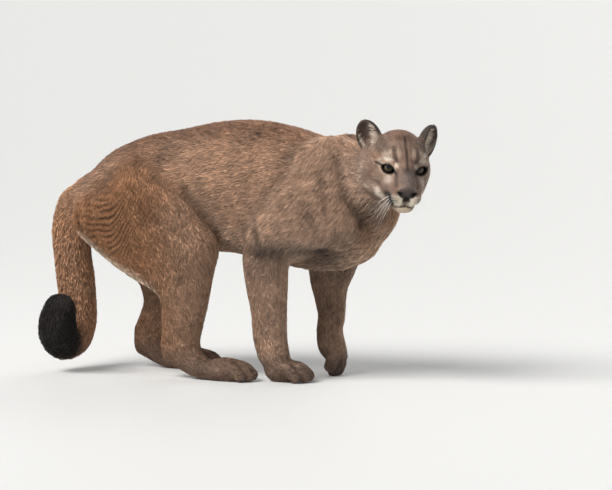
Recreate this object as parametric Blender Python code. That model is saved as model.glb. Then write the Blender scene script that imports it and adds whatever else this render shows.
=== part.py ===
"""Cougar in mid step, life size, as closed solids parted with thin cuts.

Metres. The body faces +X, its left side is +Y, up is +Z and the floor is z = 0.
The body is one rounded form, blended from balls and tapered limbs. It is turned into
meshes, thinned, and cut into the named parts by boxes.
"""

import math

import bmesh
import bpy
import numpy as np
from mathutils import Matrix, Vector

CUT = 0.0003  # gap between neighbouring parts
WELD = 0.00002  # corners closer than this become one
SHIFT = np.array([-0.081, 0.020, 0.0])  # moves the middle of the whole to the origin
FAR = 1.0
REACH = 0.06

# Parts are built about the chest and moved by SHIFT at the end
FLOOR = 0.0
SOLE_SINK = 0.003  # how far the soles go under the floor before they are cut flat

# Trunk from rump to chest: x, top, bottom, half width
TRUNK = [
    (-0.395, 0.480, 0.410, 0.045),
    (-0.370, 0.510, 0.390, 0.072),
    (-0.310, 0.558, 0.360, 0.096),
    (-0.240, 0.606, 0.340, 0.104),
    (-0.157, 0.637, 0.328, 0.106),
    (-0.060, 0.655, 0.325, 0.108),
    (0.040, 0.675, 0.326, 0.114),
    (0.114, 0.679, 0.318, 0.118),
    (0.180, 0.668, 0.305, 0.118),
    (0.243, 0.637, 0.292, 0.114),
    (0.300, 0.614, 0.285, 0.108),
    (0.360, 0.612, 0.295, 0.100),
    (0.420, 0.580, 0.330, 0.085),
    (0.455, 0.530, 0.385, 0.060),
]

# Limbs: x, y, z, half width, half depth
NECK = [
    (0.260, 0.000, 0.500, 0.100, 0.125),
    (0.350, -0.005, 0.518, 0.096, 0.111),
    (0.412, -0.024, 0.530, 0.086, 0.094),
    (0.455, -0.052, 0.545, 0.074, 0.086),
    (0.492, -0.082, 0.556, 0.066, 0.074),
]
TAIL = [
    (-0.360, 0.000, 0.460, 0.050, 0.050),
    (-0.402, 0.000, 0.430, 0.052, 0.052),
    (-0.418, 0.000, 0.370, 0.052, 0.052),
    (-0.411, 0.000, 0.290, 0.052, 0.052),
    (-0.400, -0.004, 0.210, 0.052, 0.052),
    (-0.392, -0.014, 0.140, 0.051, 0.051),
    (-0.390, -0.045, 0.090, 0.049, 0.049),
    (-0.400, -0.085, 0.078, 0.049, 0.049),
    (-0.404, -0.118, 0.100, 0.051, 0.051),
    (-0.396, -0.138, 0.140, 0.051, 0.051),
    (-0.386, -0.146, 0.172, 0.044, 0.044),
]

# Head: place and turn of its own frame, which is in millimetres with its origin between the eyes
HEAD_AT = np.array([0.574, -0.137, 0.568])
HEAD_YAW, HEAD_PITCH, HEAD_ROLL = -58, 8, -4.5
MM = 0.001
EYE = np.array([-5.0, 40.0, -1.0])
EYE_RADIUS = 17.5
EYE_GAP = 0.5
EAR_AT = np.array([-80.0, 68.0, 38.0])
EAR_POSES = {1: (46, -35), -1: (22, -27)}  # by side, left is 1: yaw outward, roll


def turn_of(roll=0.0, pitch=0.0, yaw=0.0):
    """Rotation from degrees: roll about X, then pitch about Y (plus is nose down), then yaw."""
    r, p, y = (math.radians(angle) for angle in (roll, pitch, yaw))
    about_x = np.array([[1, 0, 0], [0, math.cos(r), -math.sin(r)], [0, math.sin(r), math.cos(r)]])
    about_y = np.array([[math.cos(p), 0, math.sin(p)], [0, 1, 0], [-math.sin(p), 0, math.cos(p)]])
    about_z = np.array([[math.cos(y), -math.sin(y), 0], [math.sin(y), math.cos(y), 0], [0, 0, 1]])
    return about_z @ about_y @ about_x


HEAD_TURN = turn_of(yaw=HEAD_YAW) @ turn_of(pitch=HEAD_PITCH) @ turn_of(roll=HEAD_ROLL)
SLIT_TURN = turn_of(yaw=12) @ turn_of(roll=20)
FLIP = np.diag([1, -1, 1])


# Blends

def smooth_min(a, b, blend):
    overlap = np.maximum(blend - np.abs(a - b), 0.0) / blend
    return np.minimum(a, b) - overlap * overlap * blend / 4


def smooth_max(a, b, blend):
    return -smooth_min(-a, -b, blend)


def within(points, low, high, reach, distance):
    """The distance for the points near a box, and FAR for the others."""
    found = np.full(len(points), FAR)
    near = np.all((points > np.asarray(low) - reach) & (points < np.asarray(high) + reach), axis=1)
    if near.any():
        found[near] = distance(points[near])
    return found


def ball_distance(points, centre, radii, turn=None):
    local = points - np.asarray(centre, float)
    if turn is not None:
        local = local @ turn
    radii = np.asarray(radii, float)
    k0 = np.linalg.norm(local / radii, axis=1)
    k1 = np.linalg.norm(local / radii**2, axis=1)
    return k0 * (k0 - 1) / np.maximum(k1, 1e-9)


def ball(points, centre, radii, turn=None):
    """An ellipsoid in metres, only evaluated near it."""
    centre = np.asarray(centre, float)
    size = max(radii)
    return within(points, centre - size, centre + size, REACH,
                  lambda near: ball_distance(near, centre, radii, turn))


def spline(rows, steps):
    """The rows with steps - 1 more between each two, on a smooth curve through them."""
    rows = np.asarray(rows, float)
    ends = np.vstack([2 * rows[0] - rows[1], rows, 2 * rows[-1] - rows[-2]])
    made = []
    for i in range(len(rows) - 1):
        a, b, c, d = ends[i:i + 4]
        for t in np.arange(steps) / steps:
            made.append(0.5 * (2 * b + (c - a) * t + (2 * a - 5 * b + 4 * c - d) * t * t
                               + (3 * b - a - 3 * c + d) * t**3))
    made.append(rows[-1])
    return np.array(made)


def limb_distance(points, rows, side):
    best = np.full(len(points), np.inf)
    across, up, past = np.zeros((3, len(points)))
    wide, deep = np.ones((2, len(points)))
    for a, b in zip(rows[:-1], rows[1:]):
        along = b[:3] - a[:3]
        length = np.linalg.norm(along)
        along = along / length
        lateral = np.asarray(side, float)
        lateral = lateral - along * (lateral @ along)
        lateral /= np.linalg.norm(lateral)
        local = points - a[:3]
        run = local @ along
        t = np.clip(run / length, 0, 1)
        x, y, over = local @ lateral, local @ np.cross(along, lateral), run - t * length
        away = x * x + y * y + over * over
        won = away < best
        best = np.where(won, away, best)
        across, up, past = np.where(won, x, across), np.where(won, y, up), np.where(won, over, past)
        wide = np.where(won, a[3] + (b[3] - a[3]) * t, wide)
        deep = np.where(won, a[4] + (b[4] - a[4]) * t, deep)
    least = np.minimum(wide, deep)
    rho = np.sqrt((across / wide) ** 2 + (up / deep) ** 2 + (past / least) ** 2)
    return np.where(rho > 1e-6, np.sqrt(best) * (1 - 1 / np.maximum(rho, 1e-6)), -least)


def limb(points, stations, side=(0.0, 1.0, 0.0), steps=4):
    """A tapered limb through stations of x, y, z, half width along side and half depth."""
    rows = spline(stations, steps)
    size = rows[:, 3:].max()
    return within(points, rows[:, :3].min(0) - size, rows[:, :3].max(0) + size, REACH,
                  lambda near: limb_distance(near, rows, side))


# Head, in millimetres of its own frame: x forward, y left, z up

def to_head(points):
    return (points - HEAD_AT) @ HEAD_TURN / MM


def folded(points):
    """Both sides as the left one."""
    q = points.copy()
    q[:, 1] = np.abs(q[:, 1])
    return q


def crease(q, stations):
    """A groove or bar of the head, through stations of x, y, z and radius."""
    rows = spline([(*row, row[3]) for row in stations], 3)
    return limb_distance(q, rows, (0.3, 0.9, 0.2))


def skull(q):
    """Head without its openings. q is folded."""
    d = ball_distance(q, (-70, 0, 13), (80, 72, 75))
    brow = ball_distance(q, (-9, 27, 25), (25, 26, 20))
    orbit = ball_distance(q, (-12, 41, 2), (25, 26, 25))
    cheek_bone = ball_distance(q, (-30, 51, -14), (42, 21, 26))
    cheek = ball_distance(q, (-76, 52, -20), (50, 33, 46))
    jaw_muscle = ball_distance(q, (-42, 42, -50), (52, 28, 36))
    bridge = limb_distance(q, spline([(-12, 0, 18, 34, 30), (28, 0, -10, 22, 24), (56, 0, -36, 20, 18)], 3),
                           (0, 1, 0))
    upper_jaw = ball_distance(q, (12, 27, -40), (42, 25, 28))
    whisker_pad = ball_distance(q, (42, 21, -64), (26, 22, 21))
    nose = ball_distance(q, (57, 0, -47), (14, 23, 16))
    for form, blend in ((brow, 22), (orbit, 14), (cheek_bone, 20), (cheek, 30), (jaw_muscle, 20),
                        (bridge, 20), (upper_jaw, 18), (whisker_pad, 10), (nose, 7)):
        d = smooth_min(d, form, blend)
    chin = ball_distance(q, (37, 0, -92), (21, 23, 15))
    jaw = limb_distance(q, spline([(34, 8, -88, 20, 15), (0, 18, -80, 24, 22), (-56, 30, -62, 30, 34)], 3),
                        (0, 1, 0))
    return smooth_min(d, smooth_min(chin, jaw, 12), 7)


def eye_slit(q):
    """Almond opening between the lids: where two balls overlap, drawn out along the gaze."""
    local = (q - EYE) @ SLIT_TURN
    upper = ball_distance(local, (18, 0, -11.0), (34, 20.5, 20.5))
    lower = ball_distance(local, (18, 0, 11.0), (34, 20.5, 20.5))
    return smooth_max(upper, lower, 2)


def ear(q, yaw, roll):
    """Rounded cup open to the front and side. q is folded."""
    local = (q - EAR_AT) @ turn_of(yaw=yaw) @ turn_of(roll=roll)
    outside = ball_distance(local, (0, 0, 22), (22, 33, 50))
    hollow = ball_distance(local, (17, 0, 27), (25, 27.5, 44))
    return smooth_max(outside, -hollow, 4)


def head(points):
    p = to_head(points)
    found = np.full(len(points), FAR)
    near = np.linalg.norm(p - np.array([-50, 0, -10]), axis=1) < 260
    if not near.any():
        return found
    q = folded(p[near])
    d = skull(q)
    d = smooth_min(d, ball_distance(q, EYE, [EYE_RADIUS + 2.6] * 3), 8)
    d = smooth_max(d, -eye_slit(q), 2)
    lips = crease(q, [(67, 0, -81, 2.2), (60, 18, -86, 2.2), (38, 36, -84, 2.2), (12, 47, -76, 2.0)])
    philtrum = crease(q, [(71, 0, -62, 2.0), (69, 0, -81, 2.0)])
    nostril = crease(q, [(70, 9, -53, 3.2), (63, 17, -51, 3.0), (55, 22, -46, 2.0)])
    for groove, blend in ((lips, 3), (philtrum, 2), (nostril, 2)):
        d = smooth_max(d, -groove, blend)
    found[near] = d * MM
    return found


def ears(points):
    q = to_head(points)
    found = np.full(len(points), FAR)
    for side, pose in EAR_POSES.items():
        local = q * (1, side, 1)
        near = np.linalg.norm(local - np.array([-82, 85, 68]), axis=1) < 120
        if near.any():
            found[near] = np.minimum(found[near], ear(local[near], *pose) * MM)
    return found


# Body

def trunk(points):
    rows = [(x, 0.0, (top + bottom) / 2, wide, (top - bottom) / 2) for x, top, bottom, wide in TRUNK]
    d = limb(points, rows)
    d = smooth_min(d, limb(points, NECK), 0.06)
    breast = ball(points, (0.390, 0, 0.415), (0.085, 0.085, 0.100))
    return smooth_min(d, breast, 0.05)


def paw(points, at, half, turn):
    """Four toes and a broad pad. at is the middle of the sole."""
    at = np.asarray(at, float)

    def distance(near):
        p = (near - at) @ turn
        d = ball_distance(p, (-0.010, 0, 0.026), (0.050, half * 0.86, 0.034))
        for y, ahead in ((-0.74, 0.020), (-0.27, 0.038), (0.25, 0.039), (0.73, 0.022)):
            toe = [(ahead - 0.030, y * half * 0.78, 0.036, 0.014, 0.017),
                   (ahead, y * half, 0.031, 0.0145, 0.019),
                   (ahead + 0.022, y * half * 1.04, 0.015, 0.0135, 0.016)]
            d = smooth_min(d, limb_distance(p, spline(toe, 2), (0, 1, 0)), 0.006)
        return d

    return within(points, at - 0.10, at + 0.10, 0.03, distance)


def shoulder(points, side):
    return ball(points, (0.335, side * 0.068, 0.528), (0.085, 0.045, 0.122), turn_of(pitch=20))


def foreleg_right(points):
    """The one that bears weight."""
    upper = limb(points, [(0.375, -0.088, 0.450, 0.050, 0.075), (0.290, -0.100, 0.405, 0.050, 0.075),
                          (0.205, -0.105, 0.378, 0.042, 0.058)])
    triceps = ball(points, (0.250, -0.092, 0.430), (0.100, 0.040, 0.065), turn_of(pitch=-30))
    lower = limb(points, [(0.188, -0.105, 0.375, 0.042, 0.060), (0.182, -0.100, 0.320, 0.046, 0.064),
                          (0.183, -0.092, 0.250, 0.043, 0.058), (0.186, -0.085, 0.180, 0.038, 0.050),
                          (0.187, -0.080, 0.115, 0.037, 0.047), (0.196, -0.078, 0.070, 0.037, 0.043)])
    foot = paw(points, (0.231, -0.076, 0.0), 0.046, turn_of(yaw=-4))
    d = smooth_min(shoulder(points, -1), upper, 0.05)
    d = smooth_min(d, triceps, 0.04)
    return smooth_min(smooth_min(d, lower, 0.03), foot, 0.02)


def foreleg_left(points):
    """The one that is lifted, with only its toes down."""
    upper = limb(points, [(0.390, 0.085, 0.450, 0.050, 0.070), (0.340, 0.092, 0.380, 0.050, 0.070),
                          (0.295, 0.100, 0.300, 0.045, 0.062)])
    lower = limb(points, [(0.290, 0.100, 0.300, 0.045, 0.062), (0.288, 0.098, 0.250, 0.042, 0.055),
                          (0.292, 0.094, 0.200, 0.035, 0.044), (0.296, 0.090, 0.155, 0.034, 0.038),
                          (0.290, 0.088, 0.118, 0.035, 0.035), (0.292, 0.087, 0.085, 0.036, 0.030)])
    foot = paw(points, (0.278, 0.087, 0.062), 0.041, turn_of(pitch=77))
    d = smooth_min(shoulder(points, 1), upper, 0.05)
    return smooth_min(smooth_min(d, lower, 0.03), foot, 0.02)


def hind_leg(points, hip, knee, hock, ball_at, side):
    hip, knee, hock, ball_at = (np.asarray(v, float) for v in (hip, knee, hock, ball_at))
    thigh_mid = (hip + knee) / 2 + (0, side * 0.006, 0)
    thigh = limb(points, [(*hip, 0.062, 0.110), (*thigh_mid, 0.062, 0.105), (*knee, 0.048, 0.066)])
    seat = hip + (-0.100, 0, -0.055)
    calf = (knee + hock) / 2 + (-0.035, 0, 0.045)
    ham_mid = (seat + calf) / 2 + (0.010, side * 0.010, 0)
    ham = limb(points, [(*seat, 0.050, 0.060), (*ham_mid, 0.052, 0.068), (*calf, 0.040, 0.050)])
    shin = knee + (hock - knee) * 0.55
    shank = limb(points, [(*knee, 0.048, 0.062), (*shin, 0.042, 0.064),
                          (*(hock + (0.012, 0, 0.020)), 0.034, 0.052)])
    instep = (hock + ball_at) / 2 + (0, 0, -0.010)
    sole = limb(points, [(*hock, 0.034, 0.045), (*instep, 0.032, 0.030),
                         (*(ball_at + (0, 0, 0.026)), 0.036, 0.026)])
    d = smooth_min(thigh, ham, 0.05)
    d = smooth_min(d, shank, 0.04)
    d = smooth_min(d, sole, 0.03)
    return smooth_min(d, paw(points, ball_at, 0.042, turn_of()), 0.015)


def hind_leg_right(points):
    return hind_leg(points, (-0.225, -0.080, 0.470), (-0.010, -0.112, 0.345),
                    (-0.070, -0.100, 0.075), (0.086, -0.112, 0.0), -1)


def hind_leg_left(points):
    return hind_leg(points, (-0.225, 0.080, 0.470), (-0.105, 0.105, 0.300),
                    (-0.232, 0.090, 0.070), (-0.090, 0.088, 0.0), 1)


def cougar(points):
    """Signed distance to the whole animal, about the coat's outside. Minus is inside."""
    body = trunk(points)
    d = smooth_min(body, limb(points, TAIL[:4]), 0.04)
    d = np.minimum(d, limb(points, TAIL))
    for leg in (foreleg_right, foreleg_left, hind_leg_right, hind_leg_left):
        d = np.minimum(d, smooth_min(body, leg(points), 0.045))
    d = smooth_min(d, head(points), 0.028)
    d = smooth_min(d, ears(points), 0.006)
    return smooth_max(d, FLOOR - SOLE_SINK - points[:, 2], 0.002)


# Meshing

def edge_number(start, end):
    """Number, 0 to 11, of the cell edge between two corners."""
    axis = next(i for i in range(3) if start[i] != end[i])
    return axis * 4 + start[(axis + 1) % 3] * 2 + start[(axis + 2) % 3]


def sheet_joins():
    """Pairs of cell edges that can lie on one sheet, by face: first, second, shared corner, face edges."""
    joins = []
    for axis in range(3):
        one, two = (axis + 1) % 3, (axis + 2) % 3
        for side in (0, 1):
            ring = []
            for i, j in ((0, 0), (1, 0), (1, 1), (0, 1)):
                corner = [0, 0, 0]
                corner[axis], corner[one], corner[two] = side, i, j
                ring.append(tuple(corner))
            edges = [edge_number(ring[k], ring[(k + 1) % 4]) for k in range(4)]
            for k in range(4):
                joins.append((edges[k - 1], edges[k], ring[k], edges))
            joins.append((edges[0], edges[2], None, edges))
            joins.append((edges[1], edges[3], None, edges))
    return joins


def surface_net(values, origin, step):
    """Closed mesh of four-sided faces where values is 0. Minus is inside.

    Each grid cell that the surface passes gets one corner for each sheet in it.
    """
    inside = values < 0
    shape = np.array(values.shape) - 1
    corners = [(i, j, k) for i in (0, 1) for j in (0, 1) for k in (0, 1)]
    count = np.zeros(shape, np.uint8)
    for i, j, k in corners:
        count += inside[i:i + shape[0], j:j + shape[1], k:k + shape[2]]
    cells = np.argwhere((count > 0) & (count < 8))
    value = {corner: values[tuple((cells + corner).T)] for corner in corners}
    crossing = np.zeros((len(cells), 12), bool)
    place = np.zeros((len(cells), 12, 3))
    for start in corners:
        for axis in range(3):
            if start[axis]:
                continue
            end = tuple(1 if i == axis else start[i] for i in range(3))
            number = edge_number(start, end)
            first, last = value[start], value[end]
            cross = (first < 0) != (last < 0)
            t = np.where(cross, first / np.where(cross, first - last, 1), 0)
            crossing[:, number] = cross
            place[:, number] = cells + start
            place[:, number, axis] += t
    label = np.where(crossing, np.arange(12), 12)
    for _ in range(6):
        for first, second, corner, edges in sheet_joins():
            joined = crossing[:, first] & crossing[:, second]
            plain = crossing[:, edges].sum(axis=1) == 2
            joined &= plain if corner is None else plain | (value[corner] < 0)
            least = np.minimum(label[:, first], label[:, second])
            label[joined, first] = least[joined]
            label[joined, second] = least[joined]
    key = np.where(crossing, np.arange(len(cells))[:, None] * 12 + label, -1)
    sheets, index = np.unique(key[crossing], return_inverse=True)
    weight = np.bincount(index, minlength=len(sheets))
    points = np.stack([np.bincount(index, place[crossing][:, i], len(sheets)) / weight for i in range(3)], 1)
    corner_of = np.full((len(cells), 12), -1)
    corner_of[crossing] = index
    cell_number = np.full(shape, -1, np.int32)
    cell_number[tuple(cells.T)] = np.arange(len(cells))
    quads = []
    for axis in range(3):
        one, two = (axis + 1) % 3, (axis + 2) % 3
        low, high = [slice(None)] * 3, [slice(None)] * 3
        low[axis], high[axis] = slice(0, -1), slice(1, None)
        starts, ends = inside[tuple(low)], inside[tuple(high)]
        edges = np.argwhere(starts != ends)
        kept = (edges[:, one] > 0) & (edges[:, two] > 0)
        kept &= (edges[:, one] < shape[one]) & (edges[:, two] < shape[two])
        edges = edges[kept]
        outward = starts[tuple(edges.T)]
        ring = []
        for back_one, back_two in ((1, 1), (0, 1), (0, 0), (1, 0)):
            cell = edges.copy()
            cell[:, one] -= back_one
            cell[:, two] -= back_two
            ring.append(corner_of[cell_number[tuple(cell.T)], axis * 4 + back_one * 2 + back_two])
        ring = np.stack(ring, axis=1)
        ring[~outward] = ring[~outward][:, ::-1]
        quads.append(ring)
    return np.asarray(origin) + step * points, np.vstack(quads)


def settle(field, points, step):
    """Points moved onto the surface along its slope."""
    slope = np.empty_like(points)
    small = 2e-4
    for axis in range(3):
        nudge = np.zeros(3)
        nudge[axis] = small
        slope[:, axis] = (field(points + nudge) - field(points - nudge)) / (2 * small)
    steep = np.maximum((slope * slope).sum(1), 0.05)
    move = -(field(points) / steep)[:, None] * slope
    size = np.linalg.norm(move, axis=1)
    return points + move * np.minimum(1, step * 0.6 / np.maximum(size, 1e-9))[:, None]


def polygonise(field, low, high, step):
    """Mesh of the surface between low and high. Only cells near the surface are evaluated."""
    low, high = np.asarray(low, float), np.asarray(high, float)
    group = 4
    size = np.ceil((high - low) / (step * group)).astype(int) + 1
    coarse = np.stack(np.meshgrid(*[np.arange(n) for n in size], indexing="ij"), -1).reshape(-1, 3)
    reach = step * group
    rough = field(low + (coarse + 0.5) * reach)
    values = np.where(rough < 0, -FAR, FAR).reshape(size)
    values = values.repeat(group, 0).repeat(group, 1).repeat(group, 2)
    active = coarse[np.abs(rough) < reach * 1.3]
    local = np.stack(np.meshgrid(*[np.arange(group)] * 3, indexing="ij"), -1).reshape(-1, 3)
    cells = (active[:, None, :] * group + local).reshape(-1, 3)
    values[tuple(cells.T)] = field(low + (cells + 0.5) * step)
    points, quads = surface_net(values, low + 0.5 * step, step)
    return settle(field, points, step), quads


def boxed(low, high):
    """The cougar inside a box, so that its mesh is closed there."""
    low, high = np.asarray(low, float), np.asarray(high, float)

    def field(points):
        out = np.maximum(low - points, points - high).max(axis=1)
        return np.maximum(cougar(points), out)

    return field


def triangles_of(mesh):
    mesh.calc_loop_triangles()
    return len(mesh.loop_triangles)


def applied(obj, kind, **settings):
    modifier = obj.modifiers.new(kind.lower(), kind)
    for key, value in settings.items():
        setattr(modifier, key, value)
    made = bpy.data.meshes.new_from_object(obj.evaluated_get(bpy.context.evaluated_depsgraph_get()))
    obj.modifiers.clear()
    obj.data = made
    return obj


def new_object(name, mesh):
    obj = bpy.data.objects.new(name, mesh)
    bpy.context.collection.objects.link(obj)
    return obj


def source_mesh(name, low, high, step, triangles):
    """One stretch of the animal, thinned to about so many triangles."""
    margin = 1.5 * step
    points, quads = polygonise(boxed(low, high), np.array(low) - margin, np.array(high) + margin, step)
    mesh = bpy.data.meshes.new(name)
    mesh.from_pydata(points.tolist(), [], quads.tolist())
    obj = new_object(name, mesh)
    applied(obj, "TRIANGULATE")
    applied(obj, "DECIMATE", ratio=min(1.0, triangles / triangles_of(obj.data)))
    boolean(obj, box_object(WORLD, (-1, -1, FLOOR), (1, 1, 1)), "INTERSECT")
    return obj


def frame_matrix(at, turn, unit=1.0):
    rows = [[*(turn[i] * unit), at[i]] for i in range(3)]
    return Matrix([*rows, [0, 0, 0, 1]])


def box_object(frame, low, high, grow=0.0):
    """A box between two corners of a frame, grown by so many metres on each side."""
    bm = bmesh.new()
    unit = frame.to_scale().x
    low = [v - grow / unit for v in low]
    high = [v + grow / unit for v in high]
    size = [b - a for a, b in zip(low, high)]
    middle = [(a + b) / 2 for a, b in zip(low, high)]
    bmesh.ops.create_cube(bm, size=1.0, matrix=Matrix.Translation(middle) @ Matrix.Diagonal((*size, 1)))
    bmesh.ops.transform(bm, matrix=frame, verts=bm.verts)
    mesh = bpy.data.meshes.new("cutter")
    bm.to_mesh(mesh)
    bm.free()
    return new_object("cutter", mesh)


def boolean(obj, cutter, operation):
    applied(obj, "BOOLEAN", object=cutter, operation=operation, solver="MANIFOLD")
    bpy.data.objects.remove(cutter)


def keep_largest(obj):
    """Drops all closed surfaces but the one with the most volume."""
    bm = bmesh.new()
    bm.from_mesh(obj.data)
    left = set(bm.faces)
    groups = []
    while left:
        stack = [left.pop()]
        group = list(stack)
        while stack:
            for edge in stack.pop().edges:
                for face in edge.link_faces:
                    if face in left:
                        left.remove(face)
                        stack.append(face)
                        group.append(face)
        groups.append(group)
    groups.sort(key=lambda group: sum(face.calc_area() for face in group))
    loose = [face for group in groups[:-1] for face in group]
    if loose:
        bmesh.ops.delete(bm, geom=loose, context="FACES")
    bmesh.ops.remove_doubles(bm, verts=bm.verts, dist=WELD)
    bmesh.ops.dissolve_degenerate(bm, edges=bm.edges, dist=WELD / 4)
    bmesh.ops.triangulate(bm, faces=bm.faces)
    bm.to_mesh(obj.data)
    bm.free()


def material(name, colour, roughness):
    made = bpy.data.materials.new(name)
    made.use_nodes = True
    shader = made.node_tree.nodes["Principled BSDF"]
    shader.inputs["Base Color"].default_value = (*colour, 1)
    shader.inputs["Roughness"].default_value = roughness
    shader.inputs["Metallic"].default_value = 0.0
    made.diffuse_color = (*colour, 1)
    return made


def eye_ball(name, side, frame):
    bm = bmesh.new()
    centre = Vector((EYE[0], EYE[1] * side, EYE[2]))
    turn = Matrix.Rotation(math.radians(90), 4, "Y")
    bmesh.ops.create_uvsphere(bm, u_segments=20, v_segments=12, radius=EYE_RADIUS,
                              matrix=Matrix.Translation(centre) @ turn)
    bmesh.ops.transform(bm, matrix=frame, verts=bm.verts)
    bmesh.ops.triangulate(bm, faces=bm.faces)
    mesh = bpy.data.meshes.new(name)
    bm.to_mesh(mesh)
    bm.free()
    return new_object(name, mesh)


def grown_eye(side, frame):
    """The eyeball with the gap round it, to cut its socket."""
    obj = eye_ball("cutter", side, frame)
    centre = frame @ Vector((EYE[0], EYE[1] * side, EYE[2]))
    for vertex in obj.data.vertices:
        vertex.co = centre + (vertex.co - centre) * (1 + EYE_GAP / EYE_RADIUS)
    return obj


WORLD = Matrix.Identity(4)
HEAD = frame_matrix(HEAD_AT, HEAD_TURN, MM)
NAPE = HEAD @ frame_matrix((-100, 0, 0), turn_of(pitch=-22))
EAR_ROOT = np.array([-80.0, 70.0, 46.0])
EAR_ROOT_TURN = turn_of(yaw=10) @ turn_of(roll=-48)
EAR_LEFT = HEAD @ frame_matrix(EAR_ROOT, EAR_ROOT_TURN)
EAR_RIGHT = HEAD @ frame_matrix(EAR_ROOT * (1, -1, 1), FLIP @ EAR_ROOT_TURN @ FLIP)
WITHERS = frame_matrix((0.405, 0.0, 0.520), turn_of(yaw=-12, pitch=-27))
HEEL = frame_matrix((0.1645, 0.0, 0.0), turn_of(pitch=-15))

# Stretches that are meshed: low corner, high corner, step, triangles
SOURCES = {
    "body": ((-0.500, -0.230, -0.020), (0.540, 0.200, 0.760), 0.010, 6450),
    "head": ((0.400, -0.310, 0.410), (0.710, 0.060, 0.760), 0.0028, 5600),
    "paw_fore_right": ((0.120, -0.150, -0.020), (0.350, -0.010, 0.150), 0.004, 800),
    "paw_fore_left": ((0.220, 0.020, -0.020), (0.380, 0.160, 0.150), 0.004, 800),
    "paw_hind_right": ((-0.160, -0.180, -0.020), (0.220, -0.040, 0.130), 0.004, 900),
    "paw_hind_left": ((-0.310, 0.020, -0.020), (0.040, 0.160, 0.125), 0.004, 900),
}

# Parts: name, stretch it is cut from, frame of its box, low corner, high corner. Earlier boxes win.
PARTS = [
    ("ear_left", "head", EAR_LEFT, (-32, -60, 3), (60, 50, 110)),
    ("ear_right", "head", EAR_RIGHT, (-32, -50, 3), (60, 60, 110)),
    ("head", "head", NAPE, (-18, -160, -150), (230, 160, 190)),
    ("foreleg_right_paw", "paw_fore_right", HEEL, (0.0, -0.170, -0.060), (0.180, -0.010, 0.095)),
    ("foreleg_right_lower", "body", WORLD, (0.080, -0.180, 0.075), (0.300, -0.020, 0.300)),
    ("foreleg_right_upper", "body", WORLD, (0.090, -0.240, 0.300), (0.425, -0.066, 0.470)),
    ("foreleg_left_paw", "paw_fore_left", WORLD, (0.210, 0.010, -0.010), (0.380, 0.170, 0.128)),
    ("foreleg_left_lower", "body", WORLD, (0.200, 0.020, 0.128), (0.400, 0.180, 0.270)),
    ("foreleg_left_upper", "body", WORLD, (0.215, 0.066, 0.270), (0.425, 0.240, 0.460)),
    ("hindleg_right_foot", "paw_hind_right", WORLD, (-0.180, -0.200, -0.010), (0.300, -0.030, 0.100)),
    ("hindleg_right_lower", "body", WORLD, (-0.180, -0.200, 0.100), (0.080, -0.030, 0.290)),
    ("hindleg_right_upper", "body", WORLD, (-0.410, -0.240, 0.290), (0.070, -0.064, 0.560)),
    ("hindleg_left_foot", "paw_hind_left", WORLD, (-0.320, 0.020, -0.010), (0.060, 0.180, 0.095)),
    ("hindleg_left_lower", "body", WORLD, (-0.320, 0.020, 0.095), (0.000, 0.180, 0.255)),
    ("hindleg_left_upper", "body", WORLD, (-0.410, 0.064, 0.255), (0.010, 0.220, 0.560)),
    ("tail_root", "body", WORLD, (-0.560, -0.100, 0.230), (-0.350, 0.100, 0.372)),
    ("tail_middle", "body", WORLD, (-0.560, -0.066, -0.020), (-0.320, 0.100, 0.230)),
    ("tail_tip", "body", WORLD, (-0.560, -0.260, -0.020), (-0.320, -0.066, 0.280)),
    ("neck", "body", WITHERS, (0.000, -0.200, -0.260), (0.250, 0.200, 0.260)),
    ("torso", "body", WORLD, (-0.480, -0.220, 0.200), (0.600, 0.220, 0.760)),
]

COLOURS = {
    "ear": (0.16, 0.11, 0.085),
    "head": (0.34, 0.22, 0.15),
    "tail_tip": (0.045, 0.032, 0.028),
    "tail": (0.33, 0.21, 0.14),
    "neck": (0.36, 0.24, 0.165),
    "torso": (0.36, 0.23, 0.15),
    "hindleg": (0.38, 0.25, 0.16),
    "foreleg": (0.37, 0.25, 0.17),
    "eye": (0.20, 0.17, 0.09),
}


def cut_parts():
    sources = {name: source_mesh("source_" + name, *figures) for name, figures in SOURCES.items()}
    made = []
    for number, (name, source, frame, low, high) in enumerate(PARTS):
        obj = new_object(name, sources[source].data.copy())
        obj.data.name = name
        boolean(obj, box_object(frame, low, high), "INTERSECT")
        for _, _, other, other_low, other_high in PARTS[:number]:
            boolean(obj, box_object(other, other_low, other_high, CUT), "DIFFERENCE")
        made.append(obj)
    for obj in sources.values():
        bpy.data.objects.remove(obj)
    return made


def colour_of(name):
    for start, colour in COLOURS.items():
        if name.startswith(start):
            return colour
    raise ValueError(name)


def main():
    for obj in list(bpy.data.objects):
        bpy.data.objects.remove(obj)
    parts = cut_parts()
    head_part = next(obj for obj in parts if obj.name == "head")
    for side, name in ((1, "eye_left"), (-1, "eye_right")):
        boolean(head_part, grown_eye(side, HEAD), "DIFFERENCE")
        parts.append(eye_ball(name, side, HEAD))
    for obj in parts:
        keep_largest(obj)
        for vertex in obj.data.vertices:
            vertex.co += Vector(SHIFT)
        obj.data.materials.clear()
        roughness = 0.15 if obj.name.startswith("eye") else 0.85
        obj.data.materials.append(material(obj.name, colour_of(obj.name), roughness))


main()
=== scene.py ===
import math

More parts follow.
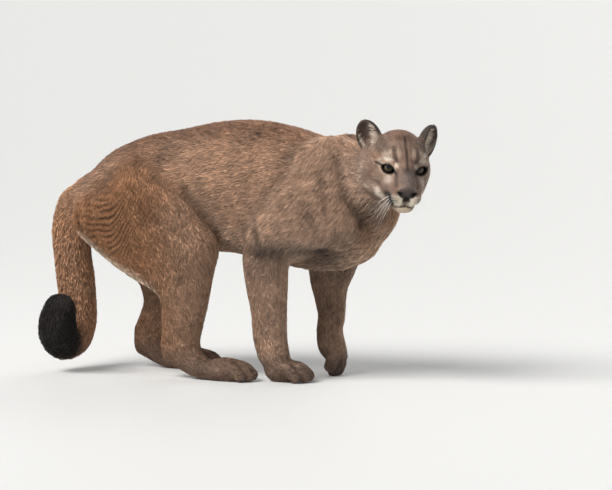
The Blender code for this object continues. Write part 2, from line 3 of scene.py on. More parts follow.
import bmesh
import bpy
import numpy as np
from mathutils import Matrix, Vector


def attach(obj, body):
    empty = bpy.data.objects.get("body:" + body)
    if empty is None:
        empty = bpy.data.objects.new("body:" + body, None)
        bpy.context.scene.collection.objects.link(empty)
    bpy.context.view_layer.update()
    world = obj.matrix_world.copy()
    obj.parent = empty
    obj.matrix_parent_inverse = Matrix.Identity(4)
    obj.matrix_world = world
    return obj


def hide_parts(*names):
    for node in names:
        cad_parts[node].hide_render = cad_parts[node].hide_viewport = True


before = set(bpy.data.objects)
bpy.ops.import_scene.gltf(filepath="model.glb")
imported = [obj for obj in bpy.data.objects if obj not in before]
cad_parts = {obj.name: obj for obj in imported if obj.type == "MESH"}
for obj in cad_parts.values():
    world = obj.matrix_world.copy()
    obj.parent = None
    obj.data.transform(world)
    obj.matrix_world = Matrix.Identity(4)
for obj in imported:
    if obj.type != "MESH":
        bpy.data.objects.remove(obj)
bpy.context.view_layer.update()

SHIFT = np.array([-0.081, 0.020, 0.0])  # moves the middle of the whole to the origin
FAR = 1.0  # stands for any distance that doesn't matter
REACH = 0.06  # how far round a form its distance is worked out
LIMB_STEPS = 4  # stretches of a limb between two stations

# Parts are built about the chest and moved by SHIFT at the end
FLOOR = 0.0
SOLE_SINK = 0.003  # how far the soles go under the floor before they are cut flat

# Trunk from rump to chest: x, top, bottom, half width
TRUNK = [
    (-0.395, 0.480, 0.410, 0.045),
    (-0.370, 0.510, 0.390, 0.072),
    (-0.310, 0.558, 0.360, 0.096),
    (-0.240, 0.606, 0.340, 0.104),
    (-0.157, 0.637, 0.328, 0.106),
    (-0.060, 0.655, 0.325, 0.108),
    (0.040, 0.675, 0.326, 0.114),
    (0.114, 0.679, 0.318, 0.118),
    (0.180, 0.668, 0.305, 0.118),
    (0.243, 0.637, 0.292, 0.114),
    (0.300, 0.614, 0.285, 0.108),
    (0.360, 0.612, 0.295, 0.100),
    (0.420, 0.580, 0.330, 0.085),
    (0.455, 0.530, 0.385, 0.060),
]

# Limbs: x, y, z, half width, half depth
NECK = [
    (0.260, 0.000, 0.500, 0.100, 0.125),
    (0.350, -0.005, 0.518, 0.096, 0.111),
    (0.412, -0.024, 0.530, 0.086, 0.094),
    (0.455, -0.052, 0.545, 0.074, 0.086),
    (0.492, -0.082, 0.556, 0.066, 0.074),
]
TAIL = [
    (-0.360, 0.000, 0.460, 0.050, 0.050),
    (-0.402, 0.000, 0.430, 0.052, 0.052),
    (-0.418, 0.000, 0.370, 0.052, 0.052),
    (-0.411, 0.000, 0.290, 0.052, 0.052),
    (-0.400, -0.004, 0.210, 0.052, 0.052),
    (-0.392, -0.014, 0.140, 0.051, 0.051),
    (-0.390, -0.045, 0.090, 0.049, 0.049),
    (-0.400, -0.085, 0.078, 0.049, 0.049),
    (-0.404, -0.118, 0.100, 0.051, 0.051),
    (-0.396, -0.138, 0.140, 0.051, 0.051),
    (-0.386, -0.146, 0.172, 0.044, 0.044),
]

# Head: place and turn of its own frame, which is in millimetres with its origin between the eyes
HEAD_AT = np.array([0.574, -0.137, 0.568])
HEAD_YAW, HEAD_PITCH, HEAD_ROLL = -58, 8, -4.5
MM = 0.001
EYE = np.array([-5.0, 40.0, -1.0])
EYE_RADIUS = 17.5
EAR_AT = np.array([-80.0, 68.0, 38.0])
EAR_POSES = {1: (46, -35), -1: (22, -27)}  # by side, left is 1: yaw outward, roll
HEAD_MIDDLE, HEAD_REACH = np.array([-50, 0, -10]), 260  # where the head's form is worked out
EAR_MIDDLE, EAR_REACH = np.array([-82, 85, 68]), 120


def turn_of(roll=0.0, pitch=0.0, yaw=0.0):
    """Rotation from degrees: roll about X, then pitch about Y (plus is nose down), then yaw."""
    r, p, y = (math.radians(angle) for angle in (roll, pitch, yaw))
    about_x = np.array([[1, 0, 0], [0, math.cos(r), -math.sin(r)], [0, math.sin(r), math.cos(r)]])
    about_y = np.array([[math.cos(p), 0, math.sin(p)], [0, 1, 0], [-math.sin(p), 0, math.cos(p)]])
    about_z = np.array([[math.cos(y), -math.sin(y), 0], [math.sin(y), math.cos(y), 0], [0, 0, 1]])
    return about_z @ about_y @ about_x


HEAD_TURN = turn_of(yaw=HEAD_YAW) @ turn_of(pitch=HEAD_PITCH) @ turn_of(roll=HEAD_ROLL)
SLIT_TURN = turn_of(yaw=12) @ turn_of(roll=20)


# Blends and simple forms

def smooth_min(a, b, blend):
    overlap = np.maximum(blend - np.abs(a - b), 0.0) / blend
    return np.minimum(a, b) - overlap * overlap * blend / 4


def smooth_max(a, b, blend):
    return -smooth_min(-a, -b, blend)


def within(points, low, high, reach, distance):
    """The distance for the points near a box, and FAR for the others."""
    found = np.full(len(points), FAR)
    near = np.all((points > np.asarray(low) - reach) & (points < np.asarray(high) + reach), axis=1)
    if near.any():
        found[near] = distance(points[near])
    return found


def ball_distance(points, centre, radii, turn=None):
    local = points - np.asarray(centre, float)
    if turn is not None:
        local = local @ turn
    radii = np.asarray(radii, float)
    k0 = np.linalg.norm(local / radii, axis=1)
    k1 = np.linalg.norm(local / radii**2, axis=1)
    return k0 * (k0 - 1) / np.maximum(k1, 1e-9)


def ball(points, centre, radii, turn=None):
    """An ellipsoid in metres, only evaluated near it."""
    centre = np.asarray(centre, float)
    size = max(radii)
    return within(points, centre - size, centre + size, REACH,
                  lambda near: ball_distance(near, centre, radii, turn))


def spline(rows, steps):
    """The rows with steps - 1 more between each two, on a smooth curve through them."""
    rows = np.asarray(rows, float)
    ends = np.vstack([2 * rows[0] - rows[1], rows, 2 * rows[-1] - rows[-2]])
    made = []
    for i in range(len(rows) - 1):
        a, b, c, d = ends[i:i + 4]
        for t in np.arange(steps) / steps:
            made.append(0.5 * (2 * b + (c - a) * t + (2 * a - 5 * b + 4 * c - d) * t * t
                               + (3 * b - a - 3 * c + d) * t**3))
    made.append(rows[-1])
    return np.array(made)


def limb_distance(points, rows, side):
    best = np.full(len(points), np.inf)
    across, up, past = np.zeros((3, len(points)))
    wide, deep = np.ones((2, len(points)))
    for a, b in zip(rows[:-1], rows[1:]):
        along = b[:3] - a[:3]
        length = np.linalg.norm(along)
        along = along / length
        lateral = np.asarray(side, float)
        lateral = lateral - along * (lateral @ along)
        lateral /= np.linalg.norm(lateral)
        local = points - a[:3]
        run = local @ along
        t = np.clip(run / length, 0, 1)
        x, y, over = local @ lateral, local @ np.cross(along, lateral), run - t * length
        away = x * x + y * y + over * over
        won = away < best
        best = np.where(won, away, best)
        across, up, past = np.where(won, x, across), np.where(won, y, up), np.where(won, over, past)
        wide = np.where(won, a[3] + (b[3] - a[3]) * t, wide)
        deep = np.where(won, a[4] + (b[4] - a[4]) * t, deep)
    least = np.minimum(wide, deep)
    rho = np.sqrt((across / wide) ** 2 + (up / deep) ** 2 + (past / least) ** 2)
    return np.where(rho > 1e-6, np.sqrt(best) * (1 - 1 / np.maximum(rho, 1e-6)), -least)


def limb(points, stations):
    """A tapered limb through stations of x, y, z, half width along Y and half depth."""
    rows = spline(stations, LIMB_STEPS)
    size = rows[:, 3:].max()
    return within(points, rows[:, :3].min(0) - size, rows[:, :3].max(0) + size, REACH,
                  lambda near: limb_distance(near, rows, (0.0, 1.0, 0.0)))


# Head, in millimetres of its own frame: x forward, y left, z up

def to_head(points):
    return (points - HEAD_AT) @ HEAD_TURN / MM


def from_head(q):
    return np.atleast_2d(q) * MM @ HEAD_TURN.T + HEAD_AT


def folded(points):
    """Both sides as the left one."""
    q = points.copy()
    q[:, 1] = np.abs(q[:, 1])
    return q


def crease(q, stations):
    """A groove or bar of the head, through stations of x, y, z and radius."""
    rows = spline([(*row, row[3]) for row in stations], 3)
    return limb_distance(q, rows, (0.3, 0.9, 0.2))


def skull(q):
    """Head without its openings. q is folded."""
    d = ball_distance(q, (-70, 0, 13), (80, 72, 75))
    brow = ball_distance(q, (-9, 27, 25), (25, 26, 20))
    orbit = ball_distance(q, (-12, 41, 2), (25, 26, 25))
    cheek_bone = ball_distance(q, (-30, 51, -14), (42, 21, 26))
    cheek = ball_distance(q, (-76, 52, -20), (50, 33, 46))
    jaw_muscle = ball_distance(q, (-42, 42, -50), (52, 28, 36))
    bridge = limb_distance(q, spline([(-12, 0, 18, 34, 30), (28, 0, -10, 22, 24), (56, 0, -36, 20, 18)], 3),
                           (0, 1, 0))
    upper_jaw = ball_distance(q, (12, 27, -40), (42, 25, 28))
    whisker_pad = ball_distance(q, (42, 21, -64), (26, 22, 21))
    nose = ball_distance(q, (57, 0, -47), (14, 23, 16))
    for form, blend in ((brow, 22), (orbit, 14), (cheek_bone, 20), (cheek, 30), (jaw_muscle, 20),
                        (bridge, 20), (upper_jaw, 18), (whisker_pad, 10), (nose, 7)):
        d = smooth_min(d, form, blend)
    chin = ball_distance(q, (37, 0, -92), (21, 23, 15))
    jaw = limb_distance(q, spline([(34, 8, -88, 20, 15), (0, 18, -80, 24, 22), (-56, 30, -62, 30, 34)], 3),
                        (0, 1, 0))
    return smooth_min(d, smooth_min(chin, jaw, 12), 7)


def eye_slit(q):
    """Almond opening between the lids: where two balls overlap, drawn out along the gaze."""
    local = (q - EYE) @ SLIT_TURN
    upper = ball_distance(local, (18, 0, -11.0), (34, 20.5, 20.5))
    lower = ball_distance(local, (18, 0, 11.0), (34, 20.5, 20.5))
    return smooth_max(upper, lower, 2)


def in_ear(q, side):
    """Points in the frame of one ear. q is folded."""
    yaw, roll = EAR_POSES[side]
    return (q - EAR_AT) @ turn_of(yaw=yaw) @ turn_of(roll=roll)


def ear_hollow(local):
    return ball_distance(local, (17, 0, 27), (25, 27.5, 44))


def ear(local):
    """Rounded cup open to the front and side."""
    outside = ball_distance(local, (0, 0, 22), (22, 33, 50))
    return smooth_max(outside, -ear_hollow(local), 4)


def head(points):
    p = to_head(points)
    found = np.full(len(points), FAR)
    near = np.linalg.norm(p - HEAD_MIDDLE, axis=1) < HEAD_REACH
    if not near.any():
        return found
    q = folded(p[near])
    d = skull(q)
    d = smooth_min(d, ball_distance(q, EYE, [EYE_RADIUS + 2.6] * 3), 8)
    d = smooth_max(d, -eye_slit(q), 2)
    lips = crease(q, [(67, 0, -81, 2.2), (60, 18, -86, 2.2), (38, 36, -84, 2.2), (12, 47, -76, 2.0)])
    philtrum = crease(q, [(71, 0, -62, 2.0), (69, 0, -81, 2.0)])
    nostril = crease(q, [(70, 9, -53, 3.2), (63, 17, -51, 3.0), (55, 22, -46, 2.0)])
    for groove, blend in ((lips, 3), (philtrum, 2), (nostril, 2)):
        d = smooth_max(d, -groove, blend)
    found[near] = d * MM
    return found


def ears(points):
    q = to_head(points)
    found = np.full(len(points), FAR)
    for side in EAR_POSES:
        local = q * (1, side, 1)
        near = np.linalg.norm(local - EAR_MIDDLE, axis=1) < EAR_REACH
        if near.any():
            found[near] = np.minimum(found[near], ear(in_ear(local[near], side)) * MM)
    return found


# Body

def barrel(points):
    rows = [(x, 0.0, (top + bottom) / 2, wide, (top - bottom) / 2) for x, top, bottom, wide in TRUNK]
    return limb(points, rows)


def trunk(points):
    d = smooth_min(barrel(points), limb(points, NECK), 0.06)
    breast = ball(points, (0.390, 0, 0.415), (0.085, 0.085, 0.100))
    return smooth_min(d, breast, 0.05)


def paw(points, at, half, turn):
    """Four toes and a broad pad. at is the middle of the sole."""
    at = np.asarray(at, float)

    def distance(near):
        p = (near - at) @ turn
        d = ball_distance(p, (-0.010, 0, 0.026), (0.050, half * 0.86, 0.034))
        for y, ahead in ((-0.74, 0.020), (-0.27, 0.038), (0.25, 0.039), (0.73, 0.022)):
            toe = [(ahead - 0.030, y * half * 0.78, 0.036, 0.014, 0.017),
                   (ahead, y * half, 0.031, 0.0145, 0.019),
                   (ahead + 0.022, y * half * 1.04, 0.015, 0.0135, 0.016)]
            d = smooth_min(d, limb_distance(p, spline(toe, 2), (0, 1, 0)), 0.006)
        return d

    return within(points, at - 0.10, at + 0.10, 0.03, distance)


def shoulder(points, side):
    return ball(points, (0.335, side * 0.068, 0.528), (0.085, 0.045, 0.122), turn_of(pitch=20))


def foreleg_right(points):
    """The one that bears weight."""
    upper = limb(points, [(0.375, -0.088, 0.450, 0.050, 0.075), (0.290, -0.100, 0.405, 0.050, 0.075),
                          (0.205, -0.105, 0.378, 0.042, 0.058)])
    triceps = ball(points, (0.250, -0.092, 0.430), (0.100, 0.040, 0.065), turn_of(pitch=-30))
    lower = limb(points, [(0.188, -0.105, 0.375, 0.042, 0.060), (0.182, -0.100, 0.320, 0.046, 0.064),
                          (0.183, -0.092, 0.250, 0.043, 0.058), (0.186, -0.085, 0.180, 0.038, 0.050),
                          (0.187, -0.080, 0.115, 0.037, 0.047), (0.196, -0.078, 0.070, 0.037, 0.043)])
    foot = paw(points, (0.231, -0.076, 0.0), 0.046, turn_of(yaw=-4))
    d = smooth_min(shoulder(points, -1), upper, 0.05)
    d = smooth_min(d, triceps, 0.04)
    return smooth_min(smooth_min(d, lower, 0.03), foot, 0.02)


def foreleg_left(points):
    """The one that is lifted, with only its toes down."""
    upper = limb(points, [(0.390, 0.085, 0.450, 0.050, 0.070), (0.340, 0.092, 0.380, 0.050, 0.070),
                          (0.295, 0.100, 0.300, 0.045, 0.062)])
    lower = limb(points, [(0.290, 0.100, 0.300, 0.045, 0.062), (0.288, 0.098, 0.250, 0.042, 0.055),
                          (0.292, 0.094, 0.200, 0.035, 0.044), (0.296, 0.090, 0.155, 0.034, 0.038),
                          (0.290, 0.088, 0.118, 0.035, 0.035), (0.292, 0.087, 0.085, 0.036, 0.030)])
    foot = paw(points, (0.278, 0.087, 0.062), 0.041, turn_of(pitch=77))
    d = smooth_min(shoulder(points, 1), upper, 0.05)
    return smooth_min(smooth_min(d, lower, 0.03), foot, 0.02)


def hind_leg(points, hip, knee, hock, ball_at, side):
    hip, knee, hock, ball_at = (np.asarray(v, float) for v in (hip, knee, hock, ball_at))
    thigh_mid = (hip + knee) / 2 + (0, side * 0.006, 0)
    thigh = limb(points, [(*hip, 0.062, 0.110), (*thigh_mid, 0.062, 0.105), (*knee, 0.048, 0.066)])
    seat = hip + (-0.100, 0, -0.055)
    calf = (knee + hock) / 2 + (-0.035, 0, 0.045)
    ham_mid = (seat + calf) / 2 + (0.010, side * 0.010, 0)
    ham = limb(points, [(*seat, 0.050, 0.060), (*ham_mid, 0.052, 0.068), (*calf, 0.040, 0.050)])
    shin = knee + (hock - knee) * 0.55
    shank = limb(points, [(*knee, 0.048, 0.062), (*shin, 0.042, 0.064),
                          (*(hock + (0.012, 0, 0.020)), 0.034, 0.052)])
    instep = (hock + ball_at) / 2 + (0, 0, -0.010)
    sole = limb(points, [(*hock, 0.034, 0.045), (*instep, 0.032, 0.030),
                         (*(ball_at + (0, 0, 0.026)), 0.036, 0.026)])
    d = smooth_min(thigh, ham, 0.05)
    d = smooth_min(d, shank, 0.04)
    d = smooth_min(d, sole, 0.03)
    return smooth_min(d, paw(points, ball_at, 0.042, turn_of()), 0.015)


def hind_leg_right(points):
    return hind_leg(points, (-0.225, -0.080, 0.470), (-0.010, -0.112, 0.345),
                    (-0.070, -0.100, 0.075), (0.086, -0.112, 0.0), -1)


def hind_leg_left(points):
    return hind_leg(points, (-0.225, 0.080, 0.470), (-0.105, 0.105, 0.300),
                    (-0.232, 0.090, 0.070), (-0.090, 0.088, 0.0), 1)


def cougar(points):
    """Signed distance to the whole animal, about the coat's outside. Minus is inside."""
    body = trunk(points)
    d = smooth_min(body, limb(points, TAIL[:4]), 0.04)
    d = np.minimum(d, limb(points, TAIL))
    for leg in (foreleg_right, foreleg_left, hind_leg_right, hind_leg_left):
        d = np.minimum(d, smooth_min(body, leg(points), 0.045))
    d = smooth_min(d, head(points), 0.028)
    d = smooth_min(d, ears(points), 0.006)
    return smooth_max(d, FLOOR - SOLE_SINK - points[:, 2], 0.002)


# Meshing

SETTLE_STEP, SLOPE_STEP = 2e-4, 4e-4  # for the slope of a field and for the skin's smoother normals
GROUP = 4  # cells to a side of the blocks that are first tried roughly
CORNERS = [(i, j, k) for i in (0, 1) for j in (0, 1) for k in (0, 1)]  # of a grid cell


def edge_number(start, end):
    """Number, 0 to 11, of the cell edge between two corners."""
    axis = next(i for i in range(3) if start[i] != end[i])
    return axis * 4 + start[(axis + 1) % 3] * 2 + start[(axis + 2) % 3]


def sheet_joins():
    """Pairs of cell edges that can lie on one sheet, by face: first, second, shared corner, face edges."""
    joins = []
    for axis in range(3):
        one, two = (axis + 1) % 3, (axis + 2) % 3
        for side in (0, 1):
            ring = []
            for i, j in ((0, 0), (1, 0), (1, 1), (0, 1)):
                corner = [0, 0, 0]
                corner[axis], corner[one], corner[two] = side, i, j
                ring.append(tuple(corner))
            edges = [edge_number(ring[k], ring[(k + 1) % 4]) for k in range(4)]
            for k in range(4):
                joins.append((edges[k - 1], edges[k], ring[k], edges))
            joins.append((edges[0], edges[2], None, edges))
            joins.append((edges[1], edges[3], None, edges))
    return joins


def crossings(cells, value):
    """Which edges of each cell the surface passes, and where."""
    crossing = np.zeros((len(cells), 12), bool)
    place = np.zeros((len(cells), 12, 3))
    for start in CORNERS:
        for axis in range(3):
            if start[axis]:
                continue
            end = tuple(1 if i == axis else start[i] for i in range(3))
            number = edge_number(start, end)
            first, last = value[start], value[end]
            cross = (first < 0) != (last < 0)
            t = np.where(cross, first / np.where(cross, first - last, 1), 0)
            crossing[:, number] = cross
            place[:, number] = cells + start
            place[:, number, axis] += t
    return crossing, place


def sheet_labels(crossing, value):
    """The least number among the edges that lie on one sheet, at each edge of each cell."""
    label = np.where(crossing, np.arange(12), 12)
    for _ in range(6):
        for first, second, corner, edges in sheet_joins():
            joined = crossing[:, first] & crossing[:, second]
            plain = crossing[:, edges].sum(axis=1) == 2
            joined &= plain if corner is None else plain | (value[corner] < 0)
            least = np.minimum(label[:, first], label[:, second])
            label[joined, first] = least[joined]
            label[joined, second] = least[joined]
    return label


def net_faces(inside, axis, corner_of, cell_number):
    """One face round each grid edge along an axis that the surface passes."""
    shape = cell_number.shape
    one, two = (axis + 1) % 3, (axis + 2) % 3
    low, high = [slice(None)] * 3, [slice(None)] * 3
    low[axis], high[axis] = slice(0, -1), slice(1, None)
    starts, ends = inside[tuple(low)], inside[tuple(high)]
    edges = np.argwhere(starts != ends)
    kept = (edges[:, one] > 0) & (edges[:, two] > 0)
    kept &= (edges[:, one] < shape[one]) & (edges[:, two] < shape[two])
    edges = edges[kept]
    outward = starts[tuple(edges.T)]
    ring = []
    for back_one, back_two in ((1, 1), (0, 1), (0, 0), (1, 0)):
        cell = edges.copy()
        cell[:, one] -= back_one
        cell[:, two] -= back_two
        ring.append(corner_of[cell_number[tuple(cell.T)], axis * 4 + back_one * 2 + back_two])
    ring = np.stack(ring, axis=1)
    ring[~outward] = ring[~outward][:, ::-1]
    return ring


def surface_net(values, origin, step):
    """Closed mesh of four-sided faces where values is 0. Minus is inside.

    Each grid cell that the surface passes gets one corner for each sheet in it.
    """
    inside = values < 0
    shape = np.array(values.shape) - 1
    count = np.zeros(shape, np.uint8)
    for i, j, k in CORNERS:
        count += inside[i:i + shape[0], j:j + shape[1], k:k + shape[2]]
    cells = np.argwhere((count > 0) & (count < 8))
    value = {corner: values[tuple((cells + corner).T)] for corner in CORNERS}
    crossing, place = crossings(cells, value)
    key = np.where(crossing, np.arange(len(cells))[:, None] * 12 + sheet_labels(crossing, value), -1)
    sheets, index = np.unique(key[crossing], return_inverse=True)
    weight = np.bincount(index, minlength=len(sheets))
    points = np.stack([np.bincount(index, place[crossing][:, i], len(sheets)) / weight for i in range(3)], 1)
    corner_of = np.full((len(cells), 12), -1)
    corner_of[crossing] = index
    cell_number = np.full(shape, -1, np.int32)
    cell_number[tuple(cells.T)] = np.arange(len(cells))
    quads = [net_faces(inside, axis, corner_of, cell_number) for axis in range(3)]
    return np.asarray(origin) + step * points, np.vstack(quads)


def differences(field, points, step):
    """How much the field grows along each axis, from a step before the points to a step past them."""
    grown = np.empty_like(points)
    for axis in range(3):
        nudge = np.zeros(3)
        nudge[axis] = step
        grown[:, axis] = field(points + nudge) - field(points - nudge)
    return grown


def settle(field, points, step):
    """Points moved onto the surface along its slope."""
    slope = differences(field, points, SETTLE_STEP) / (2 * SETTLE_STEP)
    steep = np.maximum((slope * slope).sum(1), 0.05)
    move = -(field(points) / steep)[:, None] * slope
    size = np.linalg.norm(move, axis=1)
    return points + move * np.minimum(1, step * 0.6 / np.maximum(size, 1e-9))[:, None]


def polygonise(field, low, high, step):
    """Mesh of the surface between low and high. Only cells near the surface are evaluated."""
    low, high = np.asarray(low, float), np.asarray(high, float)
    size = np.ceil((high - low) / (step * GROUP)).astype(int) + 1
    coarse = np.stack(np.meshgrid(*[np.arange(n) for n in size], indexing="ij"), -1).reshape(-1, 3)
    reach = step * GROUP
    rough = field(low + (coarse + 0.5) * reach)
    values = np.where(rough < 0, -FAR, FAR).reshape(size)
    values = values.repeat(GROUP, 0).repeat(GROUP, 1).repeat(GROUP, 2)
    active = coarse[np.abs(rough) < reach * 1.3]
    local = np.stack(np.meshgrid(*[np.arange(GROUP)] * 3, indexing="ij"), -1).reshape(-1, 3)
    cells = (active[:, None, :] * GROUP + local).reshape(-1, 3)
    values[tuple(cells.T)] = field(low + (cells + 0.5) * step)
    points, quads = surface_net(values, low + 0.5 * step, step)
    return settle(field, points, step), quads


# Skin

DEPTHS = {"body": 0.0050, "leg": 0.0034, "foot": 0.0020, "head": 0.0022, "face": 0.0011, "bare": 0.0003,
          "tail": 0.0060, "ear": 0.0005}  # how far the skin lies inside the solids
SKIN_STEP, HEAD_STEP = 0.0060, 0.0027  # cells of the two meshes
BODY_BOX = ((-0.52, -0.25, -0.04), (0.62, 0.22, 0.72))
HEAD_BOX = ((0.40, -0.31, 0.40), (0.70, 0.06, 0.75))
FACE_EDGE, ANY_EDGE = 0.0016, 1.0  # longest edges at the lids, nose and lips, and elsewhere
SKIN_LOW, TUFT_LOW = 0.0002, 0.0004  # how near the floor the skin and the tufts come
NECK_CUT_AT = np.array([-104.0, 0.0, 0.0])  # head frame, where the two meshes of the skin meet
NECK_CUT_PITCH = -22
BRIDGE_GAP = 0.004

# Places about the eyes, nose and lips, in the head's frame: at, radii
THIN_COAT = [(EYE + (8, 0, 0), (30, 30, 24)), ((66, 0, -50), (26, 34, 24)), ((58, 10, -84), (30, 44, 12))]
FINE_SKIN = [(EYE + (10, 0, 0), (30, 34, 24)), ((64, 12, -52), (24, 28, 20)), ((50, 20, -84), (34, 44, 14))]
SHORT_COAT = [(EYE + (14, 0, 0), (30, 30, 24)), ((60, 0, -40), (34, 32, 24))]


def ramp(values, start, end):
    """0 up to start, 1 from end on, and smooth between."""
    t = np.clip((values - start) / (end - start), 0, 1)
    return t * t * (3 - 2 * t)


def near_point(q, at, radii):
    """1 at a point and 0 beyond the radii, smooth between."""
    r = np.linalg.norm((q - np.asarray(at, float)) / np.asarray(radii, float), axis=1)
    return 1 - ramp(r, 0.35, 1.0)


def near_any(q, places):
    """The greatest near_point of some places."""
    return np.maximum.reduce([near_point(q, at, radii) for at, radii in places])


def neck_normal():
    return HEAD_TURN @ turn_of(pitch=NECK_CUT_PITCH) @ np.array([1.0, 0, 0])


def neck_point():
    return HEAD_AT + HEAD_TURN @ NECK_CUT_AT * MM


def headness(points):
    """1 on the head, 0 on the body."""
    along = (points - neck_point()) @ neck_normal()
    return ramp(along, -0.015, 0.030)


# Folds of the skin on one flank: path, half width, depth (m) and painted shade along them.
# Less than 0 is a ridge with painted highlight.
FOLDS = [
    ([(0.243, -0.085, 0.600), (0.240, -0.110, 0.556), (0.221, -0.122, 0.516), (0.184, -0.127, 0.474),
      (0.145, -0.123, 0.438), (0.120, -0.117, 0.400)], 0.021, 0.0130, 0.46),
    ([(0.268, -0.100, 0.590), (0.264, -0.122, 0.548), (0.246, -0.133, 0.506), (0.210, -0.138, 0.464),
      (0.170, -0.136, 0.428), (0.146, -0.128, 0.392)], 0.015, -0.0030, -0.18),
    ([(-0.040, -0.112, 0.495), (-0.010, -0.108, 0.466), (0.011, -0.105, 0.438), (0.031, -0.100, 0.413),
      (0.046, -0.096, 0.387), (0.052, -0.085, 0.350)], 0.016, 0.0130, 0.72),
    ([(0.010, -0.108, 0.480), (0.030, -0.104, 0.450), (0.050, -0.100, 0.420)], 0.007, 0.0030, 0.40),
    ([(0.025, -0.106, 0.490), (0.046, -0.104, 0.462), (0.066, -0.100, 0.432)], 0.006, 0.0022, 0.30),
    ([(0.158, -0.126, 0.424), (0.170, -0.140, 0.396), (0.180, -0.146, 0.366)], 0.015, 0.0070, 0.60),
    ([(0.150, -0.140, 0.346), (0.211, -0.146, 0.340), (0.280, -0.132, 0.346), (0.345, -0.100, 0.350)],
     0.023, 0.0080, 0.52),
    ([(0.385, -0.104, 0.590), (0.399, -0.112, 0.540), (0.411, -0.112, 0.490), (0.440, -0.080, 0.420)],
     0.018, 0.0090, 0.40),
    ([(0.340, -0.118, 0.560), (0.352, -0.124, 0.510), (0.362, -0.122, 0.460), (0.372, -0.112, 0.410)],
     0.017, 0.0070, 0.30),
    ([(0.300, -0.135, 0.470), (0.322, -0.134, 0.430), (0.340, -0.124, 0.392)], 0.015, 0.0070, 0.32),
    ([(-0.345, -0.112, 0.420), (-0.336, -0.120, 0.390), (-0.326, -0.118, 0.352)], 0.010, 0.0040, 0.40),
    ([(0.200, -0.090, 0.350), (0.205, -0.050, 0.345), (0.210, -0.020, 0.342)], 0.014, 0.0040, 0.5),
]
HOLLOWS = [  # at, radius, depth and painted shade; less than 0 is a swelling with painted highlight
    ((-0.120, -0.156, 0.439), 0.065, 0.0100, 0.20),
    ((-0.263, -0.105, 0.521), 0.060, 0.0090, 0.20),
    ((-0.098, -0.073, 0.597), 0.055, 0.0050, 0.22),
    ((0.110, -0.118, 0.470), 0.075, 0.0060, 0.08),
    ((-0.166, -0.117, 0.540), 0.050, 0.0, -0.10),
    ((0.042, -0.105, 0.549), 0.055, 0.0, -0.10),
    ((0.285, -0.118, 0.520), 0.050, 0.0, -0.10),
    ((0.190, -0.135, 0.430), 0.035, 0.0, -0.08),
    ((0.470, -0.070, 0.440), 0.070, 0.0020, 0.36),
    ((0.330, -0.050, 0.352), 0.075, 0.0020, 0.35),
    ((0.200, -0.145, 0.318), 0.080, 0.0, 0.30),
    ((0.335, -0.050, 0.310), 0.095, 0.0, 0.30),
    ((0.400, -0.095, 0.355), 0.070, 0.0, 0.25),
]
RIPPLED = ((-0.215, -0.130, 0.400), (0.160, 0.110, 0.130))  # wrinkles on the back of the thigh
RIPPLE, RIPPLE_DEPTH = 0.0165, 0.0020
RIPPLE_BEND = [(0.0028, 0.060, 71), (0.0010, 0.022, 72)]


def stretches(path):
    """Both ends of each stretch of a path."""
    path = np.asarray(path, float)
    return zip(path[:-1], path[1:])


def path_distance(points, path):
    """Distance to a line through points, in the units of both."""
    best = np.full(len(points), np.inf)
    for a, b in stretches(path):
        t = np.clip((points - a) @ (b - a) / ((b - a) @ (b - a)), 0, 1)
        best = np.minimum(best, np.linalg.norm(points - a - t[:, None] * (b - a), axis=1))
    return best


def one_flank(points):
    return np.stack([points[:, 0], -np.abs(points[:, 1]), points[:, 2]], 1)


def ripples(points):
    """Short wavy wrinkles on the thigh, 1 in the troughs, with how strongly they show."""
    p = one_flank(points)
    bend = noise(points, RIPPLE_BEND)
    lean = 0.80 * ramp(p[:, 0], -0.26, -0.12)
    rise = p[:, 2] * (1 - 0.35 * lean) - (p[:, 0] + 0.2) * lean + bend
    trough = 0.5 + 0.5 * np.sin(rise * 2 * math.pi / RIPPLE)
    shows = near_point(p, *RIPPLED) * ramp(waves(points, 0.070, 73), -1.3, -0.3)
    return trough, shows


def folds(points):
    """Depth of the skin's folds and hollows, and the painted shade in them, less than 0 for painted
    highlight.
    """
    p = one_flank(points)
    depth, dark, lights = np.zeros((3, len(points)))
    for path, half, deep, shade in FOLDS:
        off = path_distance(p, path) / half
        depth += deep * np.exp(-2.0 * off * off)
        tone = shade * np.exp(-1.6 * off * off)
        dark = np.maximum(dark, tone)
        lights += np.minimum(tone, 0)
    for at, radius, deep, shade in HOLLOWS:
        near = near_point(p, at, (radius,) * 3)
        depth += deep * near
        lights += shade * near
    trough, shows = ripples(points)
    depth += RIPPLE_DEPTH * (trough - 0.5) * shows
    return depth, np.clip(dark + lights, -0.3, 0.85)


def coat_depth(points):
    """How far the skin lies inside the solids' surface here."""
    z = points[:, 2]
    depth = DEPTHS["foot"] + (DEPTHS["leg"] - DEPTHS["foot"]) * ramp(z, 0.04, 0.14)
    depth += (DEPTHS["body"] - DEPTHS["leg"]) * ramp(z, 0.24, 0.36)
    tail = ramp(-points[:, 0], 0.330, 0.370)
    depth += (DEPTHS["tail"] - depth) * tail
    on_head = headness(points)
    q = folded(to_head(points))
    face = DEPTHS["head"] + (DEPTHS["face"] - DEPTHS["head"]) * ramp(q[:, 0], -35, 15)
    face += (DEPTHS["bare"] - face) * near_any(q, THIN_COAT)
    depth += (face - depth) * on_head
    return depth + (DEPTHS["ear"] - depth) * ramp(-ears(points), -0.007, -0.002)


def skin(points):
    depth, _ = folds(points)
    return cougar(points) + coat_depth(points) + depth * (1 - headness(points))


